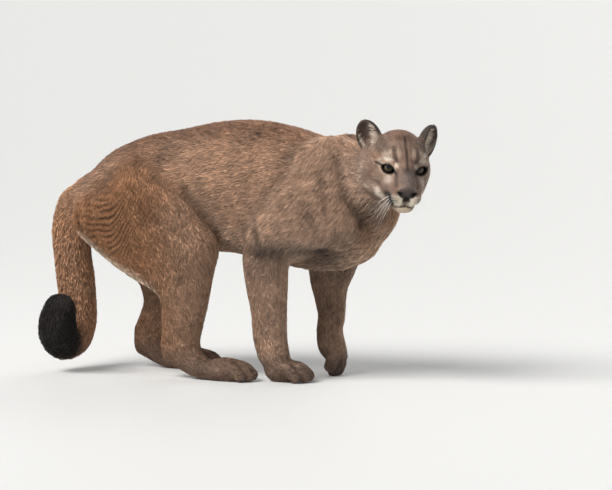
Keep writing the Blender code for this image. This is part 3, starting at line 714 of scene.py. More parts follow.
def refined(points, tris, wanted):
    """Splits the edges that are longer than wanted says at their middle, by whole steps."""
    for _ in range(2):
        edges = np.sort(tris[:, [0, 1, 1, 2, 2, 0]].reshape(-1, 2), axis=1)
        edges, index = np.unique(edges, axis=0, return_inverse=True)
        middle = points[edges].mean(axis=1)
        long = np.linalg.norm(points[edges[:, 0]] - points[edges[:, 1]], axis=1) > wanted(middle)
        if not long.any():
            break
        number = np.full(len(edges), -1)
        number[long] = len(points) + np.arange(long.sum())
        points = np.vstack([points, middle[long]])
        cut = number[index.reshape(-1, 3)]
        count = (cut >= 0).sum(axis=1)
        made = [tris[count == 0]]
        one = count == 1
        turn = np.argmax(cut[one] >= 0, axis=1)
        rows = np.arange(one.sum())
        a, b, c = (tris[one][rows, (turn + i) % 3] for i in range(3))
        m = cut[one][rows, turn]
        made += [np.stack([a, m, c], 1), np.stack([m, b, c], 1)]
        two = count == 2
        turn = (np.argmax(cut[two] < 0, axis=1) + 1) % 3
        rows = np.arange(two.sum())
        a, b, c = (tris[two][rows, (turn + i) % 3] for i in range(3))
        m, n = cut[two][rows, turn], cut[two][rows, (turn + 1) % 3]
        made += [np.stack([m, b, n], 1), np.stack([a, m, n], 1), np.stack([a, n, c], 1)]
        three = count == 3
        a, b, c = tris[three].T
        m, n, o = cut[three].T
        made += [np.stack([a, m, o], 1), np.stack([m, b, n], 1), np.stack([o, n, c], 1),
                 np.stack([m, n, o], 1)]
        tris = np.vstack(made)
    return points, tris


def skin_stretch(low, high, step, side):
    """Mesh of one stretch of skin, cut at the neck. side is 1 for the head, -1 for the body."""
    points, quads = polygonise(skin, low, high, step)
    bm = bmesh.new()
    mesh = bpy.data.meshes.new("stretch")
    mesh.from_pydata(points.tolist(), [], quads.tolist())
    bm.from_mesh(mesh)
    bpy.data.meshes.remove(mesh)
    at = neck_point() + neck_normal() * side * BRIDGE_GAP / 2
    bmesh.ops.bisect_plane(bm, geom=bm.verts[:] + bm.edges[:] + bm.faces[:], plane_co=at,
                           plane_no=neck_normal() * side, clear_inner=True, dist=1e-5)
    return bm


def skin_mesh():
    """One closed surface: a fine mesh for the head joined to a coarser one for the body."""
    body = skin_stretch(*BODY_BOX, SKIN_STEP, -1)
    top = skin_stretch(*HEAD_BOX, HEAD_STEP, 1)
    mesh = bpy.data.meshes.new("skin")
    top.to_mesh(mesh)
    body.from_mesh(mesh)
    top.free()
    bridge_neck(body)
    bmesh.ops.triangulate(body, faces=body.faces)
    body.to_mesh(mesh)
    body.free()
    points = np.empty(len(mesh.vertices) * 3)
    mesh.vertices.foreach_get("co", points)
    points = points.reshape(-1, 3)
    tris = np.empty(len(mesh.polygons) * 3, np.int32)
    mesh.polygons.foreach_get("vertices", tris)
    bpy.data.meshes.remove(mesh)
    points, tris = refined(points, tris.reshape(-1, 3), face_detail)
    points = settle(skin, points, 0.002)
    points[:, 2] = np.maximum(points[:, 2], SKIN_LOW)
    return points, tris


def bridge_neck(bm):
    """Joins the two open rims at the neck."""
    rims = [edge for edge in bm.edges if len(edge.link_faces) == 1]
    at, normal = Vector(neck_point()), Vector(neck_normal())
    at_neck = [edge for edge in rims if abs((edge.verts[0].co - at).dot(normal)) < BRIDGE_GAP]
    bmesh.ops.bridge_loops(bm, edges=at_neck)


def face_detail(points):
    """Longest edge that is wanted here: fine at the lids, nose and lips."""
    q = folded(to_head(points))
    return np.where(near_any(q, FINE_SKIN) > 0.05, FACE_EDGE, ANY_EDGE)


# Which way the coat lies

HEAD_FUR_FROM = np.array([72.0, 0.0, -40.0])  # the face's fur spreads from the nose
PATHS = {
    "neck": [(0.520, -0.110, 0.560), (0.460, -0.055, 0.545), (0.400, -0.020, 0.530), (0.260, 0.0, 0.500)],
    "tail": [row[:3] for row in TAIL],
    "foreleg_right": [(0.345, -0.080, 0.560), (0.290, -0.100, 0.420), (0.200, -0.105, 0.350),
                      (0.183, -0.092, 0.250), (0.188, -0.080, 0.100), (0.205, -0.078, 0.045),
                      (0.275, -0.076, 0.010)],
    "foreleg_left": [(0.345, 0.080, 0.560), (0.345, 0.092, 0.400), (0.292, 0.100, 0.290),
                     (0.292, 0.094, 0.200), (0.292, 0.088, 0.110), (0.300, 0.087, 0.000)],
    "hindleg_right": [(-0.215, -0.080, 0.540), (-0.150, -0.095, 0.400), (-0.050, -0.108, 0.290),
                      (-0.070, -0.100, 0.090), (-0.040, -0.104, 0.040), (0.140, -0.112, 0.010)],
    "hindleg_left": [(-0.215, 0.080, 0.540), (-0.210, 0.092, 0.400), (-0.140, 0.102, 0.270),
                     (-0.232, 0.092, 0.090), (-0.200, 0.090, 0.040), (-0.040, 0.088, 0.010)],
}
MAP_PATHS = {
    "trunk": [(-0.400, 0.0, 0.440), (-0.200, 0.0, 0.470), (0.100, 0.0, 0.500), (0.460, 0.0, 0.450)],
}
PATH_BLEND, SHARE_BLEND = 0.012, 0.014  # how softly one stretch or region gives way to the next
TRUNK_FLOW = [-1.0, 0.0, -0.30]


def path_flow(points, path):
    """Direction along the nearest stretches of a path."""
    total = np.zeros_like(points)
    for a, b in stretches(path):
        along = b - a
        t = np.clip((points - a) @ along / (along @ along), 0, 1)
        away = np.linalg.norm(points - a - t[:, None] * along, axis=1)
        total += np.exp(-away / PATH_BLEND)[:, None] * along / np.linalg.norm(along) + 1e-30
    return total / np.maximum(np.linalg.norm(total, axis=1, keepdims=True), 1e-30)


def shares(points):
    """How much each region holds at each point, as weights that add up to 1."""
    raw = {
        "trunk": barrel(points),
        "neck": limb(points, NECK),
        "tail": limb(points, TAIL),
        "foreleg_right": foreleg_right(points),
        "foreleg_left": foreleg_left(points),
        "hindleg_right": hind_leg_right(points),
        "hindleg_left": hind_leg_left(points),
        "head": head(points),
        "ears": ears(points),
    }
    names = list(raw)
    far = np.stack([raw[name] for name in names], 1)
    far -= far.min(axis=1, keepdims=True)
    weight = np.exp(-far / SHARE_BLEND)
    weight /= weight.sum(axis=1, keepdims=True)
    return {name: weight[:, i] for i, name in enumerate(names)}


def lie_of_coat(points, normals, share):
    """Unit directions in which the hairs lie, along the skin."""
    q = to_head(points)
    from_nose = q - HEAD_FUR_FROM
    from_nose /= np.linalg.norm(from_nose, axis=1, keepdims=True)
    ear_up = np.stack([np.full(len(q), -0.10), np.sign(q[:, 1]) * 0.45, np.full(len(q), 0.88)], 1)
    flows = {
        "trunk": np.tile(TRUNK_FLOW, (len(points), 1)),
        "head": from_nose @ HEAD_TURN.T,
        "ears": ear_up @ HEAD_TURN.T,
    }
    for name, path in PATHS.items():
        flows[name] = path_flow(points, path)
    flow = sum(share[name][:, None] * flows[name] for name in share)
    flow -= normals * (flow * normals).sum(1, keepdims=True)
    return flow / np.maximum(np.linalg.norm(flow, axis=1, keepdims=True), 1e-9)


def waves(points, scale, seed, terms=7):
    """Smooth noise between about -1 and 1, with lumps of the given size in metres."""
    draw = np.random.default_rng(seed)
    total = np.zeros(len(points))
    for _ in range(terms):
        way = draw.normal(size=3)
        way *= 2 * math.pi * draw.uniform(0.6, 1.4) / (scale * np.linalg.norm(way))
        total += np.sin(points @ way + draw.uniform(0, 2 * math.pi))
    return total / math.sqrt(terms)


def noise(points, layers, start=0):
    """Sum of layers of waves: the strength, size in metres and seed of each."""
    return sum((strength * waves(points, scale, seed) for strength, scale, seed in layers), start)


# Colours, given as they look on a screen and turned linear

def colour(red, green, blue):
    c = np.array([red, green, blue]) / 255
    return np.where(c <= 0.04045, c / 12.92, ((c + 0.055) / 1.055) ** 2.4)


TAWNY = colour(174, 137, 110)
BACK = colour(127, 94, 73)
GREY_TAN = colour(186, 154, 131)
RUST = colour(168, 117, 77)
PALE = colour(204, 184, 164)
GREY_BROWN = colour(122, 102, 90)
# painted shade for the legs' inner faces
SHADED = colour(122, 95, 76)
DARK_BROWN = colour(84, 62, 50)
BLACK = colour(26, 19, 15)
NOSE = colour(66, 54, 52)
NOSE_TOP = colour(92, 80, 75)
HEAD_COAT = colour(146, 119, 101)
TAIL_TOP = colour(176, 132, 98)
WHISKER = colour(240, 234, 226)
EAR_HAIR = colour(228, 210, 192)

# Marks of the face: at, radii (head frame, left side, mm), colour, strength
FACE_MARKS = [
    ((-60, 0, 84), (62, 70, 34), colour(146, 106, 84), 0.85),
    ((-22, 8, 74), (26, 26, 13), colour(92, 66, 50), 0.55),
    ((-39, 54, 48), (36, 26, 26), colour(108, 88, 76), 0.75),
    ((-28, 67, 18), (24, 20, 18), colour(172, 128, 98), 0.5),
    ((-2, 50, 31), (24, 18, 12), colour(190, 170, 150), 0.6),
    ((8, 44, 22), (22, 19, 8), colour(218, 204, 186), 0.9),
    ((-10, 62, 17), (14, 11, 8), colour(208, 190, 170), 0.7),
    ((12, 19, 40), (22, 7.5, 24), colour(190, 166, 144), 0.75),
    ((4, 40, 42), (14, 6, 10), colour(206, 186, 166), 0.6),
    ((22, 24, 9), (14, 7, 14), colour(222, 202, 184), 0.9),
    ((60, 0, -15), (46, 27, 38), colour(116, 101, 95), 0.9),
    ((62, 0, -22), (20, 14, 15), colour(122, 106, 96), 0.6),
    ((46, 6, 2), (16, 12, 14), colour(88, 72, 64), 0.6),
    ((18, 28, -7), (11, 9, 9), colour(92, 70, 66), 0.9),
    ((26, 41, -27), (24, 18, 17), colour(206, 188, 172), 0.8),
    ((-2, 64, -30), (20, 16, 15), colour(146, 124, 104), 0.7),
    ((-20, 72, -56), (34, 26, 22), colour(176, 150, 130), 0.8),
    ((36, 38, -42), (24, 15, 14), colour(150, 124, 108), 0.7),
    ((-8, 54, -70), (22, 25, 26), colour(236, 218, 200), 1.0),
    ((56, 34, -48), (18, 16, 9), colour(140, 112, 96), 0.7),
    ((62, 22, -73), (34, 30, 22), colour(244, 228, 206), 1.1),
    ((36, 40, -74), (33, 22, 28), colour(16, 14, 13), 2.0),
    ((50, 0, -101), (38, 32, 19), colour(226, 206, 180), 1.0),
    ((-8, 0, -100), (60, 44, 28), colour(190, 166, 142), 0.8),
    ((-57, 95, -30), (14, 12, 52), colour(204, 182, 160), 0.4),
]
FACE_LINES = [  # through, half width, colour, strength
    ([(-30, 0, 78), (4, 0, 52), (19, 0, 34), (34, 0, 18), (48, 0, 2)], 4.0, colour(58, 38, 28), 0.85),
    ([(-6, 30, 56), (6, 31, 43), (16, 29, 30), (22, 24, 18)], 5.0, colour(76, 58, 50), 0.80),
    ([(-30, 14, 76), (-4, 13, 60), (8, 12, 47)], 3.6, colour(92, 66, 50), 0.45),
    ([(24, 22, 0), (38, 24, -15), (50, 26, -27), (58, 28, -38)], 4.6, colour(78, 60, 54), 0.75),
    ([(-9, 71, -2), (-22, 77, -15), (-28, 78, -30)], 6.5, colour(122, 90, 72), 0.6),
    ([(-14, 68, -36), (3, 59, -40), (13, 48, -44)], 4.2, colour(92, 72, 58), 0.6),
    ([(-40, 84, -60), (-18, 70, -84), (0, 50, -96)], 7.0, colour(226, 208, 188), 0.55),
]
LID_LINES = [
    [(8, 57, 7), (4, 62, 8), (-9, 67, 9), (-15, 70, 9)],
    [(20, 28, -1), (28, 25, -9), (34, 23, -17)],
]
LIP_LINES = [
    [(56, 0, -85), (57, 10, -88), (49, 22, -90), (34, 31, -91), (20, 35, -90), (6, 44, -84)],
    [(74, 0, -60), (60, 0, -85)],
]
WHISKER_ROWS = (-62.0, -68.0, -74.0, -80.0)  # heights of the dark lines on the muzzle
MOTTLE = [(0.08, 0.09, 3), (0.10, 0.03, 4), (0.17, 0.012, 8), (0.20, 0.0075, 9)]
HEAD_MOTTLE = [(0.07, 0.02, 5), (0.06, 0.007, 6)]

# Pale fur along the thigh's rear edge
FRINGE = [(-0.335, -0.105, 0.350), (-0.270, -0.115, 0.300), (-0.191, -0.127, 0.268), (-0.150, -0.115, 0.240)]


def mixed(base, mark, weight):
    """The base colour with a mark laid over it by weight, from 0 to 1."""
    return base + (mark - base) * np.clip(weight, 0, 1)[:, None]


def fringe(points, normals):
    """1 on the pale fur along the thigh's rear edge."""
    facing = -(normals[:, 2] * 0.75 + normals[:, 0] * 0.65)
    return ramp(-path_distance(one_flank(points), FRINGE), -0.045, -0.014) * ramp(facing, 0.25, 0.8)


def body_colour(points, normals, share):
    """Coat of all but the head, with painted shade in the folds, hollows and on the legs' inner faces."""
    x, y, z = points.T
    c = np.tile(TAWNY, (len(points), 1))
    legs_fore = share["foreleg_right"] + share["foreleg_left"]
    legs_hind = share["hindleg_right"] + share["hindleg_left"]
    c = mixed(c, GREY_TAN, (share["neck"] * 0.9 + legs_fore * 0.7) * ramp(x, 0.02, 0.20))
    c = mixed(c, RUST, legs_hind * 0.75 * ramp(-x, 0.02, 0.16))
    c = mixed(c, RUST, share["tail"] * 0.45)
    on_back = (share["trunk"] + share["neck"] * 0.5 + legs_hind * 0.4) * ramp(normals[:, 2], 0.35, 0.85)
    c = mixed(c, BACK, on_back * 0.9)
    below = ramp(-normals[:, 2], 0.15, 0.75) * ramp(z, 0.12, 0.22)
    pale = share["trunk"] * 0.35 + share["neck"] * 0.25 + (legs_fore + legs_hind) * 0.25
    c = mixed(c, PALE, below * pale)
    c = mixed(c, PALE, fringe(points, normals) * 0.8)
    # Painted shade on the legs' faces that turn in toward the other side
    inner = ramp(-normals[:, 1] * np.sign(y), 0.2, 0.8) * (legs_fore + legs_hind) * ramp(-z, -0.34, -0.26)
    c = mixed(c, SHADED, inner * 0.6)
    c = mixed(c, GREY_BROWN, ramp(-z, -0.10, -0.03) * 0.7)
    c = mixed(c, DARK_BROWN, legs_fore * ramp(-z, -0.060, -0.030) * 0.4)
    tip = np.linalg.norm(points - np.array(TAIL[-1][:3]), axis=1)
    c = mixed(c, TAIL_TOP, share["tail"] * ramp(z, 0.32, 0.42) * 0.8)
    c = mixed(c, BLACK, share["tail"] * ramp(-tip, -0.185, -0.125) * ramp(-y, 0.055, 0.085))
    # painted shade in the folds and hollows, painted highlight on ridges and swellings
    _, dark = folds(points)
    mottle = noise(points, MOTTLE) * (1 - 0.7 * ripples(points)[1])
    return c * ((1 + mottle) * (1 - dark))[:, None]


def head_colour(points):
    """Coat and leather of the head, the ears left out, with painted light on the whisker pads."""
    q = folded(to_head(points))
    c = np.tile(HEAD_COAT, (len(points), 1))
    for at, radii, mark, strength in FACE_MARKS:
        c = mixed(c, mark, near_point(q, at, radii) * strength)
    for line, half, mark, strength in FACE_LINES:
        c = mixed(c, mark, ramp(-path_distance(q, line), -half * 1.5, -half * 0.3) * strength)
    # Painted light: the whisker pads are brightened against the shade below the muzzle
    c = c * (1 + 0.22 * near_point(q, (60, 24, -78), (30, 26, 16)))[:, None]
    rows = sum(np.exp(-((q[:, 2] - z + 0.12 * (q[:, 0] - 40)) / 1.9) ** 2) for z in WHISKER_ROWS)
    c = mixed(c, BLACK, rows * near_point(q, (52, 34, -70), (32, 24, 22)) * 0.95)
    rim = eye_slit(q)
    c = mixed(c, PALE, ramp(-np.abs(rim - 6.5), -3.5, 0) * 0.45)
    for line in LID_LINES:
        c = mixed(c, BLACK, ramp(-path_distance(q, line), -4.2, -1.4) * 0.92)
    c = mixed(c, BLACK, ramp(-rim, -4.2, -2.2))
    for line in LIP_LINES:
        c = mixed(c, BLACK, ramp(-path_distance(q, line), -2.9, -1.4) * 0.95)
    leather = NOSE + (NOSE_TOP - NOSE) * ramp(q[:, 2:3], -46, -34)
    leather = leather * (1 - 0.8 * ramp(-q[:, 2:3], 51, 58))
    c = mixed(c, leather, nose_mask(q))
    c = mixed(c, BLACK, ramp(-path_distance(q, [(72, 8, -56), (66, 17, -53)]), -6.0, -2.4))
    c = mixed(c, BLACK, near_point(q, (62, 19, -52), (14, 11, 8)))
    c = mixed(c, BLACK, near_point(q, (64, 0, -67), (26, 14, 15)) * 1.3)
    return c * noise(points, HEAD_MOTTLE, start=1)[:, None]


def nose_mask(q):
    """1 on the nose's bare skin."""
    r = np.linalg.norm((q - (74, 0, -50)) / (26, 28, 18), axis=1)
    return ramp(-r, -1.0, -0.86)


def ear_colour(points):
    """Dark back and rim, brown inside."""
    q = to_head(points)
    made = np.zeros((len(points), 3))
    for side in EAR_POSES:
        on = np.sign(q[:, 1]) == side
        local = in_ear(q[on] * (1, side, 1), side)
        inside = ear_hollow(local)
        c = np.tile(colour(74, 60, 52), (len(local), 1))
        c = mixed(c, colour(122, 100, 86), near_point(local, (-22, 0, 20), (20, 24, 34)) * 0.8)
        c = mixed(c, colour(104, 84, 74), ramp(-inside, -1.5, 0.5) * 0.9)
        c = mixed(c, BLACK, ramp(-np.abs(inside - 3.0), -3.0, 0) * 0.5)
        c = mixed(c, colour(150, 126, 108), ramp(-local[:, 2], 4, 22) * 0.9)
        made[on] = c
    return made


def coat_colour(points, normals, share):
    """Linear colour of skin and coat at each point."""
    on_head = headness(points)
    c = body_colour(points, normals, share)
    c += (head_colour(points) - c) * on_head[:, None]
    c += (ear_colour(points) - c) * (ramp(share["ears"], 0.35, 0.75) * on_head)[:, None]
    return np.clip(c, 0.001, 1)


# Tufts

def bare_mask(points):
    """1 where no fur grows: nose, lid rims, lips and the soles' pads."""
    q = folded(to_head(points))
    near = headness(points)
    lips = np.minimum.reduce([path_distance(q, line) for line in LIP_LINES])
    bare = np.maximum.reduce([nose_mask(q), ramp(-eye_slit(q), -2.4, -1.6), ramp(-lips, -2.4, -1.4)])
    return np.maximum(bare * near, ramp(-points[:, 2], -0.004, -0.001))


LENGTHS = {"trunk": 14.5, "neck": 14.5, "tail": 18, "head": 12, "ears": 8}  # of the tufts, mm
FORELEG_LENGTH, HINDLEG_LENGTH = 12.5, 13.5
RIPPLE_LENGTH, SHANK_LENGTH, FOOT_LENGTH = 6.5, 10.5, 7.0
BACK_OF_HEAD_LENGTH, FACE_LENGTH, MUZZLE_LENGTH, CHIN_LENGTH, EAR_LENGTH = 12.5, 6.2, 4.2, 8.5, 6.0
WIDTH_SHARE, WIDTH_LEAST = 0.10, 0.62  # width is a share of the length and something more, mm


def style(points, normals, share):
    """Length, width and height of tip of the tufts, in metres."""
    z = points[:, 2]
    length = sum(share[name] * size for name, size in LENGTHS.items())
    length = length + (share["foreleg_right"] + share["foreleg_left"]) * FORELEG_LENGTH
    length = length + (share["hindleg_right"] + share["hindleg_left"]) * HINDLEG_LENGTH
    below = ramp(-normals[:, 2], 0.2, 0.8) * (share["trunk"] + share["neck"])
    length += below * 9 + fringe(points, normals) * 8
    length += (RIPPLE_LENGTH - length) * ripples(points)[1]
    length += (SHANK_LENGTH - length) * ramp(-z, -0.30, -0.16) * (1 - share["tail"])
    length += (FOOT_LENGTH - length) * ramp(-z, -0.085, -0.035) * (1 - share["tail"])
    q = folded(to_head(points))
    on_head = headness(points)
    face = BACK_OF_HEAD_LENGTH + (FACE_LENGTH - BACK_OF_HEAD_LENGTH) * ramp(q[:, 0], -45, 10)
    face += 6.0 * near_point(q, (-74, 90, -40), (30, 40, 50))
    face += (MUZZLE_LENGTH - face) * near_any(q, SHORT_COAT)
    face += (CHIN_LENGTH - face) * near_point(q, (46, 0, -102), (36, 34, 18))
    face += (EAR_LENGTH - face) * ramp(share["ears"], 0.3, 0.7)
    length += (face - length) * on_head
    width = WIDTH_SHARE * length + WIDTH_LEAST
    return length * MM, width * MM, coat_depth(points)


def sampled(points, tris, area_each, seed):
    """Roots of tufts spread evenly: triangle and corner weights. area_each is per triangle."""
    draw = np.random.default_rng(seed)
    a, b, c = (points[tris[:, i]] for i in range(3))
    area = np.linalg.norm(np.cross(b - a, c - a), axis=1) / 2
    order = np.lexsort(np.floor(a / 0.012).astype(int).T)
    running = np.cumsum((area / area_each)[order])
    marks = np.arange(int(running[-1])) + draw.uniform(0, 1, int(running[-1]))
    chosen = order[np.minimum(np.searchsorted(running, marks), len(order) - 1)]
    u, v = draw.uniform(0, 1, (2, len(chosen)))
    over = u + v > 1
    u[over], v[over] = 1 - u[over], 1 - v[over]
    return chosen, np.stack([1 - u - v, u, v], 1)


COAT_AREA = 3.7  # length times width of a tuft, over the skin that it has
WANDER = [(0.16, 0.035, 21), (0.10, 0.012, 22)]  # how tufts turn together, radians
STRAY = 0.10  # and how each turns on its own
SMALL = 0.0162  # tufts shorter than this are straight
SEEDS = {"tufts": 11, "tone": 31, "whiskers": 40, "eyes": 50, "ears": 60}
SLOTS = {"head": "head_fur", "ear_left": "ear_fur", "ear_right": "ear_fur"}  # the rest is coat


def grown_tufts(points, tris, normals):
    """Roots, directions and sizes of all the tufts on the skin."""
    centre = points[tris].mean(axis=1)
    face_normal = normals[tris].mean(axis=1)
    share = shares(centre)
    length, width, _ = style(centre, face_normal, share)
    crowd = COAT_AREA * 1.0
    area_each = length * width / crowd / (1 - 0.999 * bare_mask(centre))
    chosen, weight = sampled(points, tris, area_each, SEEDS["tufts"])
    root = (points[tris[chosen]] * weight[:, :, None]).sum(1)
    normal = (normals[tris[chosen]] * weight[:, :, None]).sum(1)
    normal /= np.linalg.norm(normal, axis=1, keepdims=True)
    share = {name: values[chosen] for name, values in share.items()}
    draw = np.random.default_rng(SEEDS["tufts"] + 1)
    length, width, height = style(root, normal, share)
    flow = lie_of_coat(root, normal, share)
    side = np.cross(normal, flow)
    angle = noise(root, WANDER) + draw.normal(0, STRAY, len(root))
    flow = flow * np.cos(angle)[:, None] + side * np.sin(angle)[:, None]
    length = length * draw.uniform(0.75, 1.2, len(root))
    height = height * (0.78 + 0.22 * waves(root, 0.016, 23)) * draw.uniform(0.7, 1.15, len(root))
    return {"root": root, "normal": normal, "flow": flow, "length": length, "width": width,
            "height": np.maximum(height, 0.0004), "share": share}


def settled(points, normals, height, limit):
    """Points moved along the root's normal until they stand at a height over the skin."""
    for _ in range(2):
        move = np.clip(height - skin(points), -limit, limit)
        points = points + normals * move[:, None]
    return points


MIDDLE_AT, MIDDLE_UP = 0.52, 0.80  # a tuft's middle ring, as shares of its length and height
ROOT_SUNK = 0.0006
ROOT_RIDGE, MIDDLE_RIDGE, MIDDLE_HALF = 0.55, 0.34, 0.40  # shares of the tuft's width


def tuft_shapes(t):
    """Corners of every tuft: rings of three from root to middle, and the tip."""
    side = np.cross(t["normal"], t["flow"])
    length, width, height = t["length"][:, None], t["width"][:, None], t["height"]
    middle = settled(t["root"] + t["flow"] * length * MIDDLE_AT, t["normal"], height * MIDDLE_UP,
                     0.5 * t["length"])
    tip = settled(t["root"] + t["flow"] * length, t["normal"], height, 0.7 * t["length"])
    root = t["root"] - t["normal"] * ROOT_SUNK
    up = t["normal"]
    rings = [root - side * width / 2, root + side * width / 2, root + up * width * ROOT_RIDGE,
             middle - side * width * MIDDLE_HALF, middle + side * width * MIDDLE_HALF,
             middle + up * width * MIDDLE_RIDGE, tip]
    corners = np.stack(rings, 1)
    corners[:, :, 2] = np.maximum(corners[:, :, 2], TUFT_LOW)
    return corners


LONG_CORNERS = (0, 1, 2, 3, 4, 5, 6)
LONG_FACES = [(0, 2, 1), (0, 1, 4), (0, 4, 3), (1, 2, 5), (1, 5, 4), (2, 0, 3), (2, 3, 5),
              (3, 4, 6), (4, 5, 6), (5, 3, 6)]
SHORT_CORNERS = (0, 1, 2, 6)
SHORT_FACES = [(0, 2, 1), (0, 1, 3), (1, 2, 3), (2, 0, 3)]


def fast_mesh(name, points, tris, colours, uv=None):
    """A smooth mesh that carries a colour at each point."""
    mesh = bpy.data.meshes.new(name)
    mesh.vertices.add(len(points))
    mesh.vertices.foreach_set("co", np.ascontiguousarray(points, np.float32).ravel())
    mesh.loops.add(len(tris) * 3)
    mesh.loops.foreach_set("vertex_index", np.ascontiguousarray(tris, np.int32).ravel())
    mesh.polygons.add(len(tris))
    mesh.polygons.foreach_set("loop_start", np.arange(0, len(tris) * 3, 3, dtype=np.int32))
    mesh.update(calc_edges=True)
    layer = mesh.color_attributes.new(name="coat", type="FLOAT_COLOR", domain="POINT")
    layer.data.foreach_set("color", np.ascontiguousarray(colours, np.float32).ravel())
    if uv is not None:
        unwrap = mesh.uv_layers.new(name="OFBake")
        unwrap.data.foreach_set("uv", np.ascontiguousarray(uv[tris], np.float32).ravel())
    mesh.shade_smooth()
    return mesh


def add_object(name, mesh, material, replaced=(), slot=None):
    mesh.materials.append(material)
    obj = bpy.data.objects.new(name, mesh)
    bpy.context.collection.objects.link(obj)
    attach(obj, "root")
    if replaced:
        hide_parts(*replaced)


PATCH = 0.0015  # half the width of a tuft's patch on the map
PATCH_CORNERS = np.array([(-1, -1), (1, -1), (0, 0.2), (-0.5, 0.2), (0.5, 0.2), (0, 0.5), (0, 1)]) * PATCH
LEVELS = (0.64, 0.64, 0.76, 0.94, 0.94, 1.06, 1.22)  # tone from root to tip: painted shade that darkens the tufts toward their roots
TONE_SPREAD = 0.22  # how much the tufts differ in tone
DARK_TIPS, DARK_TIP = 0.20, 0.62  # share of the tufts that have a dark tip, and its tone
# painted shade in the wrinkles' troughs, and the trough level that it is centred on
RIPPLE_SHADE, RIPPLE_MEAN = 1.25, 0.38
LEG_SPLIT = 0.30  # height where a leg's coat is parted in two pieces
BELLY_SPLIT = -0.2  # how far down the skin faces where the belly's piece starts
FACE_SPLIT = -25  # where the face's piece ends, mm in the head's frame


def place_along(points, path):
    """How far along a path and how far round it each point is, both from 0 to 1."""
    best = np.full(len(points), np.inf)
    along, round_it = np.zeros((2, len(points)))
    start = 0.0
    for a, b in stretches(path):
        size = np.linalg.norm(b - a)
        way = (b - a) / size
        across = np.cross(way, (0.02, 0.999, 0.03))
        across /= np.linalg.norm(across)
        t = (points - a) @ way
        off = points - a - np.clip(t, 0, size)[:, None] * way
        away = np.linalg.norm(off, axis=1)
        won = away < best
        best = np.where(won, away, best)
        along = np.where(won, start + t, along)
        turn = np.arctan2(off @ np.cross(way, across), off @ across) / (2 * math.pi) + 0.5
        round_it = np.where(won, turn, round_it)
        start += math.dist(a, b)
    low, high = along.min(), along.max()
    return 0.01 + 0.98 * np.stack([(along - low) / max(high - low, 1e-6), round_it], 1)


def head_path():
    return from_head([(80.0, 0.0, -50.0), (-30.0, 0.0, -20.0), (-130.0, 0.0, 0.0)])


def ear_path(side):
    return from_head([(-84.0, side * 62.0, 30.0), (-84.0, side * 92.0, 92.0)])


def coat_groups(t):
    """Tufts by the piece that they belong to."""
    names = list(t["share"])
    owner = np.array(names)[np.argmax(np.stack([t["share"][name] for name in names], 1), axis=1)]
    q = to_head(t["root"])
    y, z = t["root"][:, 1], t["root"][:, 2]
    lower = z < LEG_SPLIT
    above = t["normal"][:, 2] > BELLY_SPLIT
    groups = {}
    for name in names:
        mine = owner == name
        if name == "trunk":
            groups["coat_back_left"] = (mine & (y >= 0) & above, "trunk")
            groups["coat_back_right"] = (mine & (y < 0) & above, "trunk")
            groups["coat_belly"] = (mine & ~above, "trunk")
        elif name == "ears":
            groups["coat_ear_left"] = (mine & (q[:, 1] >= 0), "ear_left")
            groups["coat_ear_right"] = (mine & (q[:, 1] < 0), "ear_right")
        elif name == "head":
            groups["coat_face"] = (mine & (q[:, 0] >= FACE_SPLIT), "head")
            groups["coat_head_back"] = (mine & (q[:, 0] < FACE_SPLIT), "head")
        elif "leg" in name:
            groups["coat_" + name + "_upper"] = (mine & ~lower, name)
            groups["coat_" + name + "_lower"] = (mine & lower, name)
        else:
            groups["coat_" + name] = (mine, name)
    return groups


def tuft_tones(t):
    """Colour of each tuft: its place's, with some chance, and painted shade in the troughs of the thigh's
    wrinkles with painted light between them.
    """
    draw = np.random.default_rng(SEEDS["tone"])
    tone = coat_colour(t["root"], t["normal"], t["share"])
    tone = tone * (1 + draw.normal(0, TONE_SPREAD, len(tone)))[:, None].clip(0.5, 1.6)
    trough, shows = ripples(t["root"] + t["flow"] * t["length"][:, None] / 2)
    # painted shade in the wrinkles' troughs, painted light on their crests
    tone = tone * (1 - RIPPLE_SHADE * shows * (trough**2 - RIPPLE_MEAN))[:, None].clip(0.2, 1.6)
    tip = np.where(draw.uniform(0, 1, len(tone)) < DARK_TIPS, DARK_TIP, 1.0)
    return tone, tip


def coat_pieces(t, material):
    """Builds the coat, one mesh for each stretch."""
    corners = tuft_shapes(t)
    tone, tip = tuft_tones(t)
    paths = dict(PATHS, **MAP_PATHS)
    paths["head"] = head_path()
    paths["ear_left"], paths["ear_right"] = ear_path(1), ear_path(-1)
    for name, (mine, path) in coat_groups(t).items():
        small = mine & (t["length"] < SMALL)
        large = mine & ~small
        points, tris, shades, maps = [], [], [], []
        start = 0
        place = np.zeros((len(mine), 2))
        place[mine] = place_along(t["root"][mine], paths[path])
        for chosen, picked, faces in ((small, SHORT_CORNERS, SHORT_FACES), (large, LONG_CORNERS, LONG_FACES)):
            picked = list(picked)
            count, each = int(chosen.sum()), len(picked)
            if not count:
                continue
            first = start + each * np.arange(count)
            tris.append((np.array(faces)[None] + first[:, None, None]).reshape(-1, 3))
            shade = tone[chosen][:, None, :] * np.array(LEVELS)[picked][None, :, None]
            shade[:, -1] *= tip[chosen][:, None]
            points.append(corners[chosen][:, picked].reshape(-1, 3))
            shades.append(shade.reshape(-1, 3))
            maps.append((place[chosen][:, None] + PATCH_CORNERS[picked][None]).reshape(-1, 2))
            start += count * each
        points, tris, shades, maps = (np.vstack(v) for v in (points, tris, shades, maps))
        colours = np.hstack([np.clip(shades, 0, 1), np.ones((len(shades), 1))])
        mesh = fast_mesh(name, points + SHIFT, tris, colours, maps)
        add_object(name, mesh, material, slot=SLOTS.get(path, "coat"))


# Whiskers and long hairs

